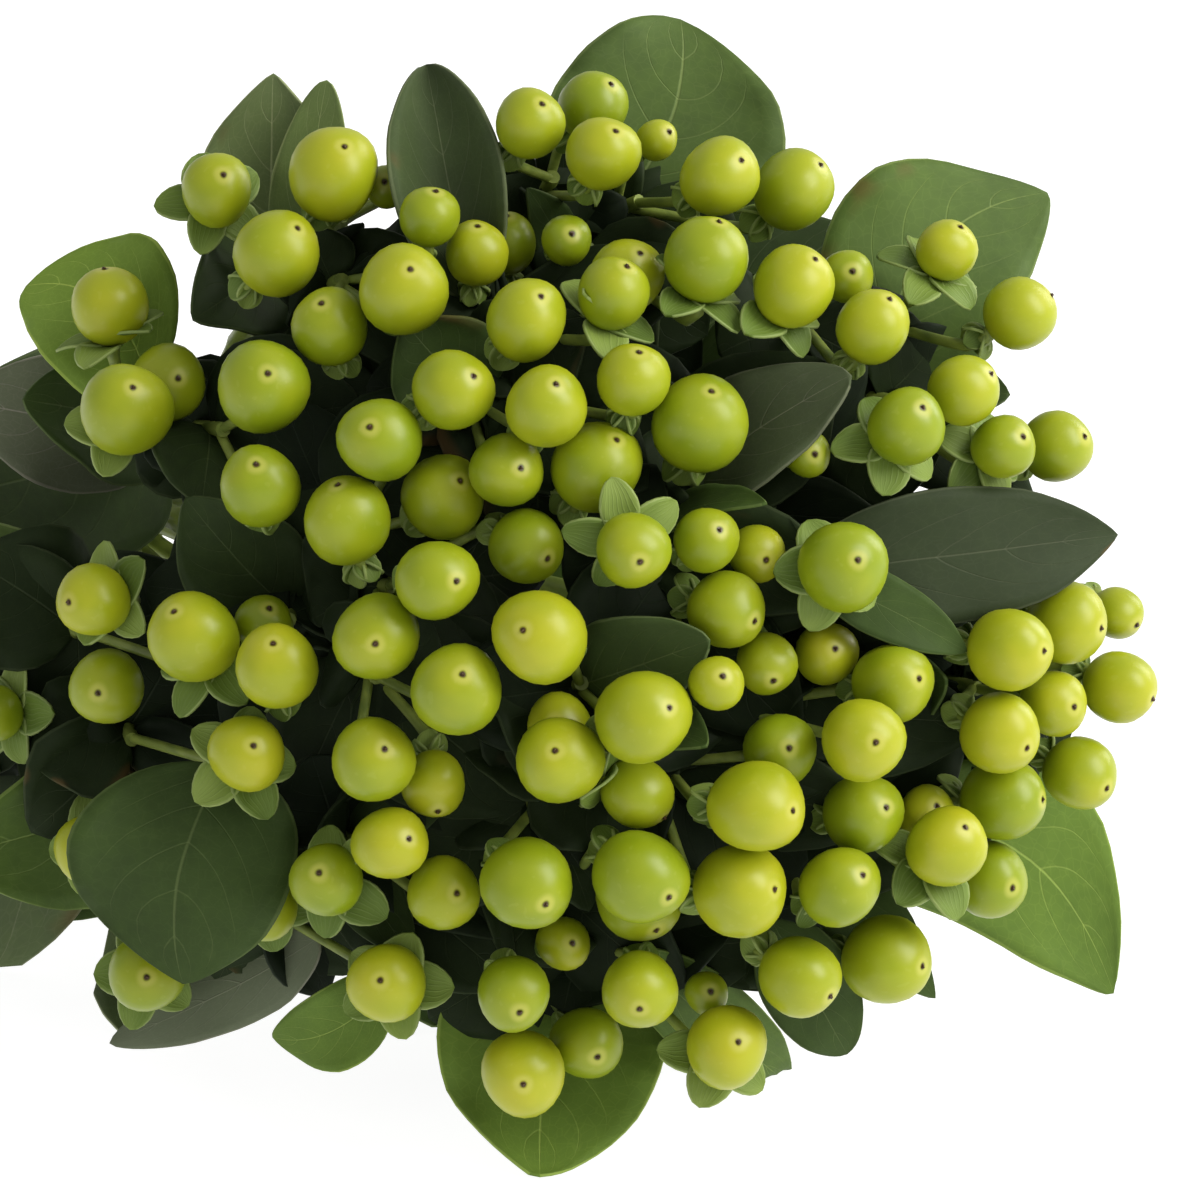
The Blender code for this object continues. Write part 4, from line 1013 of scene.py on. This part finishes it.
def plannedLeaves(stem, tree):
    draw = random.Random("leaves " + stem)
    found = []
    entry = plan[stem]
    for owner, behind, x, y, width in floorLeafTable:
        if owner == stem:
            base = alongPath(entry["rod"], behind)
            choices = [blade(base, np.array([x + move, y + abs(move), -26]), width * size, bundleUp, 0, 1,
                             looks=(0.6, 0.4, 0.5))
                       for size in (1, 0.8) for move in (0, 6, -6, 12, -12, 18, -18)]
            found.append(bestLeaf(tree, choices))
    # the table's tone is painted light and shade: darker for leaves in shade, brighter for lit ones
    for number, start, across, above, depth, width, roll, arch, tone, *rest in leafTable[stem]:
        bow, grey, blunt, cup = (*rest, *usualLeaf[len(rest):])
        spray = entry["sprays"][number]
        base = alongPath(spray["path"], max(0, start))
        if start < 0:
            base = base + (spray["berries"][0]["knee"] - base) * -start
        tip = seen(across, above, domeDepth(across, above) + depth)
        swing = unit(np.cross(tip - base, front)) * 3
        phase = (across * 0.7 + above * 0.4) % 6.28
        looks = (tone, grey, blunt)
        choices = [blade(base, place, width * size, front, roll, arch, phase, bow, cup, looks)
                   for size in (1, 0.8, 0.6) for place in leafChoices(tip, swing)]
        found.append(bestLeaf(tree, choices))
    number = list(slotTable).index(stem)
    for level in range(backLeaf["levels"] if slotTable[stem][1] else 0):
        behind = 8 + backLeaf["step"] * level + 9 * (number % 3)
        base = alongPath(entry["rod"], behind)
        ahead = unit(base - alongPath(entry["rod"], behind + 6))
        outward = base - (bandPlace + bundle * ((base - bandPlace) @ bundle))
        outward = unit(outward - ahead * (outward @ ahead))
        sideways = np.cross(ahead, outward)
        side = 1 if (level + number) % 2 else -1
        tone = draw.uniform(0.3, 0.65)
        choices = []
        for size in backLeaf["sizes"]:
            for lean in backLeaf["leans"]:
                for swing in backLeaf["swings"]:
                    angle = math.radians(swing * side)
                    heading = outward * math.cos(angle) + sideways * math.sin(angle)
                    lift = math.radians(lean)
                    length = (backLeaf["length"] - backLeaf["shrink"] * level) * size
                    tip = base + (ahead * math.cos(lift) + heading * math.sin(lift)) * length
                    choices.append(blade(base, tip, backLeaf["width"] * size, ahead, phase=level + number,
                                         looks=(tone, 0, 0.6)))
        found.append(bestLeaf(tree, choices))
    print(stem, "leaves", len(found), "not found", sum(leaf is None for leaf in found))
    return [leaf for leaf in found if leaf]


def makeLeaves():
    for stem in plan:
        tree = treeOf("stem_" + stem)
        bm, layers = startMesh("tone", "grey")
        for leaf in plannedLeaves(stem, tree):
            addLeaf(bm, layers, leaf, leafShape["columns"], leafShape["rows"])
        draw = random.Random("fill " + stem)
        for spray in plan[stem]["sprays"]:
            middle = np.mean([berry["middle"] for berry in spray["berries"]], axis=0)
            for side in (-1, 1, -0.5, 0.5, 0, -0.8, 0.8):
                out = unit(right * side + up * draw.uniform(-1, 1))
                base = alongPath(spray["path"], draw.uniform(0, 8))
                depth = draw.uniform(*fillLeaf["depth"])
                tip = middle + out * fillLeaf["reach"] * draw.uniform(0.6, 1) - front * depth
                width = fillLeaf["width"] * draw.uniform(0.8, 1.3)
                roll, phase = draw.uniform(-30, 30), draw.uniform(0, 6)
                # painted shade: a near-black tone for the fill leaves inside the head
                tone = draw.uniform(*fillLeaf["tone"])
                for size in (1, 0.85, 0.7, 0.55):
                    leaf = blade(base, base + (tip - base) * size, width * size, front, roll, 2, phase,
                                 looks=(tone, 0, 0.5))
                    if insideHead(leaf, fillLeaf["margin"]) and clearOfBerries(leaf):
                        addLeaf(bm, layers, leaf, 6, 10)
                        break
        made = finish(bm, "leaves_" + stem, ["leafTop", "leafUnder"], ["stem_" + stem])
        thicken(made, leafShape["thickness"]).material_offset = 1


woodShape = {
    "sides": 3,
    "spacing": 4,
    "swelling": 0.2,
    "nodeStep": 27,
    "thickAt": 110,  # how far behind the crown the stem has its full radius
}


def smoothPath(places, spacing):
    # places along a smooth run through the given ones
    ends = [places[0] * 2 - places[1]] + list(places) + [places[-1] * 2 - places[-2]]
    run = []
    for a, b, c, d in zip(ends, ends[1:], ends[2:], ends[3:]):
        steps = max(1, round(np.linalg.norm(c - b) / spacing))
        for step in range(steps):
            t = step / steps
            run.append(0.5 * (2 * b + (c - a) * t + (2 * a - 5 * b + 4 * c - d) * t * t
                              + (3 * b - a - 3 * c + d) * t ** 3))
    return run + [places[-1]]


def addSpline(curve, places, radii, material):
    spline = curve.splines.new("POLY")
    spline.points.add(len(places) - 1)
    spline.material_index = material
    spline.use_smooth = True
    for point, place, radius in zip(spline.points, places, radii):
        point.co = (*toPart(place), 1)
        point.radius = radius


def makeWood():
    for stem, entry in plan.items():
        curve = bpy.data.curves.new("wood_" + stem, "CURVE")
        curve.dimensions = "3D"
        curve.bevel_depth = mm
        curve.bevel_resolution = woodShape["sides"]
        curve.use_fill_caps = True
        rod = smoothPath(entry["rod"], woodShape["spacing"])
        gone = 0
        radii = []
        for place, after in zip(rod, rod[1:] + rod[-1:]):
            thick = min(1, gone / woodShape["thickAt"])
            offset = (gone - 8) % woodShape["nodeStep"]
            swell = 1 + woodShape["swelling"] * math.exp(-(offset / 2.5) ** 2)
            radius = bunch["crownRadius"] + (bunch["stemRadius"] - bunch["crownRadius"]) * thick
            radii.append(radius * swell)
            gone += np.linalg.norm(after - place)
        rod = [lifted(place, radius) for place, radius in zip(rod, radii)]
        addSpline(curve, rod, radii, 1)
        for spray in entry["sprays"]:
            fork, join = spray["fork"], spray["join"]
            stepBack = unit(join - fork)
            halfWay = (fork + join) / 2 + front * 0.6
            branch = smoothPath([fork - stepBack, halfWay, join + stepBack * 0.3], 3)
            addSpline(curve, branch, [bunch["branchRadius"]] * len(branch), 0)
            for n, berry in enumerate(spray["berries"]):
                root = fork + stepBack * bunch["pedicelStep"] * n
                base = berry["middle"] - berry["axis"] * berry["radius"] * 0.9
                path = smoothPath([root, berry["knee"], base], 2)
                widths = [bunch["pedicelRadius"] * (0.9 + 0.5 * share ** 4)
                          for share in np.linspace(0, 1, len(path))]
                addSpline(curve, path, widths, 0)
        settle(addObject("wood_" + stem, curve, "twig", "bark"), ["stem_" + stem])


def makeCutEnds():
    bm, layers = startMesh("rim")
    for stem, entry in plan.items():
        end, before = entry["rod"][-1], entry["rod"][-2]
        heading = unit(end - before)
        end = lifted(end, bunch["stemRadius"])
        facing = Vector(heading).to_track_quat("Z", "Y").to_matrix()
        made = bmesh.ops.create_circle(bm, cap_ends=True, cap_tris=True, segments=20, radius=1)
        for vertex in made["verts"]:
            distance = vertex.co.length
            vertex[layers[0]] = distance
            flat = facing @ (vertex.co * bunch["stemRadius"] * 0.98)
            vertex.co = toPart(Vector(end) + flat + Vector(heading) * (0.12 - 0.07 * distance))
    finish(bm, "cut_ends", ["cut"], ["stem_" + stem for stem in plan])


bandShape = {
    "strands": 3,
    "strandWidth": 2.2,
    "strandStep": 2.3,
    "thickness": 1.1,
    "gap": 0.35,  # between the outer stems and the band
    "corner": 0.7,  # 1 for a round strand, less for a squarer one
    "steps": 72,
}


def makeBand():
    bm, layers = startMesh()
    inner = slotRadius[1] + bunch["stemRadius"] + bandShape["gap"]
    for strand in range(bandShape["strands"]):
        along = (strand - (bandShape["strands"] - 1) / 2) * bandShape["strandStep"]
        made = bmesh.ops.create_circle(bm, cap_ends=False, segments=12, radius=1)
        radius = inner + bandShape["thickness"] / 2
        for vertex in made["verts"]:
            x, y = [math.copysign(abs(value) ** bandShape["corner"], value) for value in vertex.co[:2]]
            place = (bandPlace + np.array([1.0, 0, 0]) * (radius + x * bandShape["thickness"] / 2)
                     + bundle * (along + y * bandShape["strandWidth"] / 2))
            vertex.co = toPart(place)
        edges = [edge for edge in bm.edges if edge.verts[0] in set(made["verts"])]
        bmesh.ops.spin(bm, geom=made["verts"] + edges, cent=toPart(bandPlace), axis=Vector(bundle),
                       dvec=(0, 0, 0), angle=2 * math.pi, steps=bandShape["steps"], use_merge=True)
    bmesh.ops.remove_doubles(bm, verts=bm.verts, dist=1e-6)
    bmesh.ops.recalc_face_normals(bm, faces=bm.faces)
    finish(bm, "rubber_band_strands", ["rubber"], ["rubber_band"])


print("making the berries")
makeBerries()
print("making the calyxes")
makeCalyxes()
print("making the leaves")
makeLeaves()
print("making the wood")
makeWood()
makeCutEnds()
print("making the band")
makeBand()

# Floor, light and camera
studio = {
    "keyPower": 21,
    "keySize": (0.7, 1.1),
    "keyPlace": (1.05, 0.65, 0.7),  # right, up and front of the head, in metres
    "rimPower": 10,
    "rimSize": (0.6, 0.9),
    "rimPlace": (1.1, 0.8, -0.5),
    "color": (1, 0.985, 0.94),
    "world": 0.52,
    "floorTone": 0.3,
    "floorGlow": 0.92,
}


def addLight(name):
    target = toPart(head)
    x, y, z = studio[name + "Place"]
    light = bpy.data.lights.new(name, "AREA")
    light.shape = "RECTANGLE"
    light.size, light.size_y = studio[name + "Size"]
    light.energy = studio[name + "Power"]
    light.color = studio["color"]
    lamp = addObject(name, light)
    lamp.location = target + Vector(right) * x + Vector(up) * y + Vector(front) * z
    lamp.rotation_euler = (lamp.location - target).to_track_quat("Z", "Y").to_euler()


def makeStudio():
    bm = bmesh.new()
    bmesh.ops.create_grid(bm, x_segments=2, y_segments=2, size=6)
    bmesh.ops.translate(bm, verts=bm.verts, vec=(0, 0, -0.0003))
    mesh = bpy.data.meshes.new("floor")
    bm.to_mesh(mesh)
    bm.free()
    floor = addObject("floor", mesh)
    pale = Shader("paleFloor", 0.9, 0.1)
    tone = studio["floorTone"]
    pale.surface["Base Color"].default_value = (tone, tone, tone, 1)
    pale.surface["Emission Color"].default_value = (1, 1, 1, 1)
    pale.surface["Emission Strength"].default_value = studio["floorGlow"]
    mesh.materials.append(pale.material)
    world = bpy.data.worlds.new("studio")
    world.use_nodes = True
    sky = world.node_tree.nodes["Background"].inputs
    sky["Color"].default_value = (1, 1, 1, 1)
    sky["Strength"].default_value = studio["world"]
    bpy.context.scene.world = world
    addLight("key")
    addLight("rim")


view = {
    "sensor": 36,
    "lens": 200,
    "nearest": 0.05,
}


def makeCamera():
    camera = bpy.data.cameras.new("camera")
    camera.sensor_width = view["sensor"]
    camera.lens = view["lens"]
    camera.clip_start = view["nearest"]
    eye = addObject("camera", camera)
    turned = Matrix((right, up, front)).transposed().to_4x4()
    eye.matrix_world = Matrix.Translation(toPart(head + front * bunch["viewDistance"])) @ turned
    bpy.context.scene.camera = eye


print("setting the studio")
makeStudio()
makeCamera()
bpy.context.scene.view_settings.view_transform = "Standard"
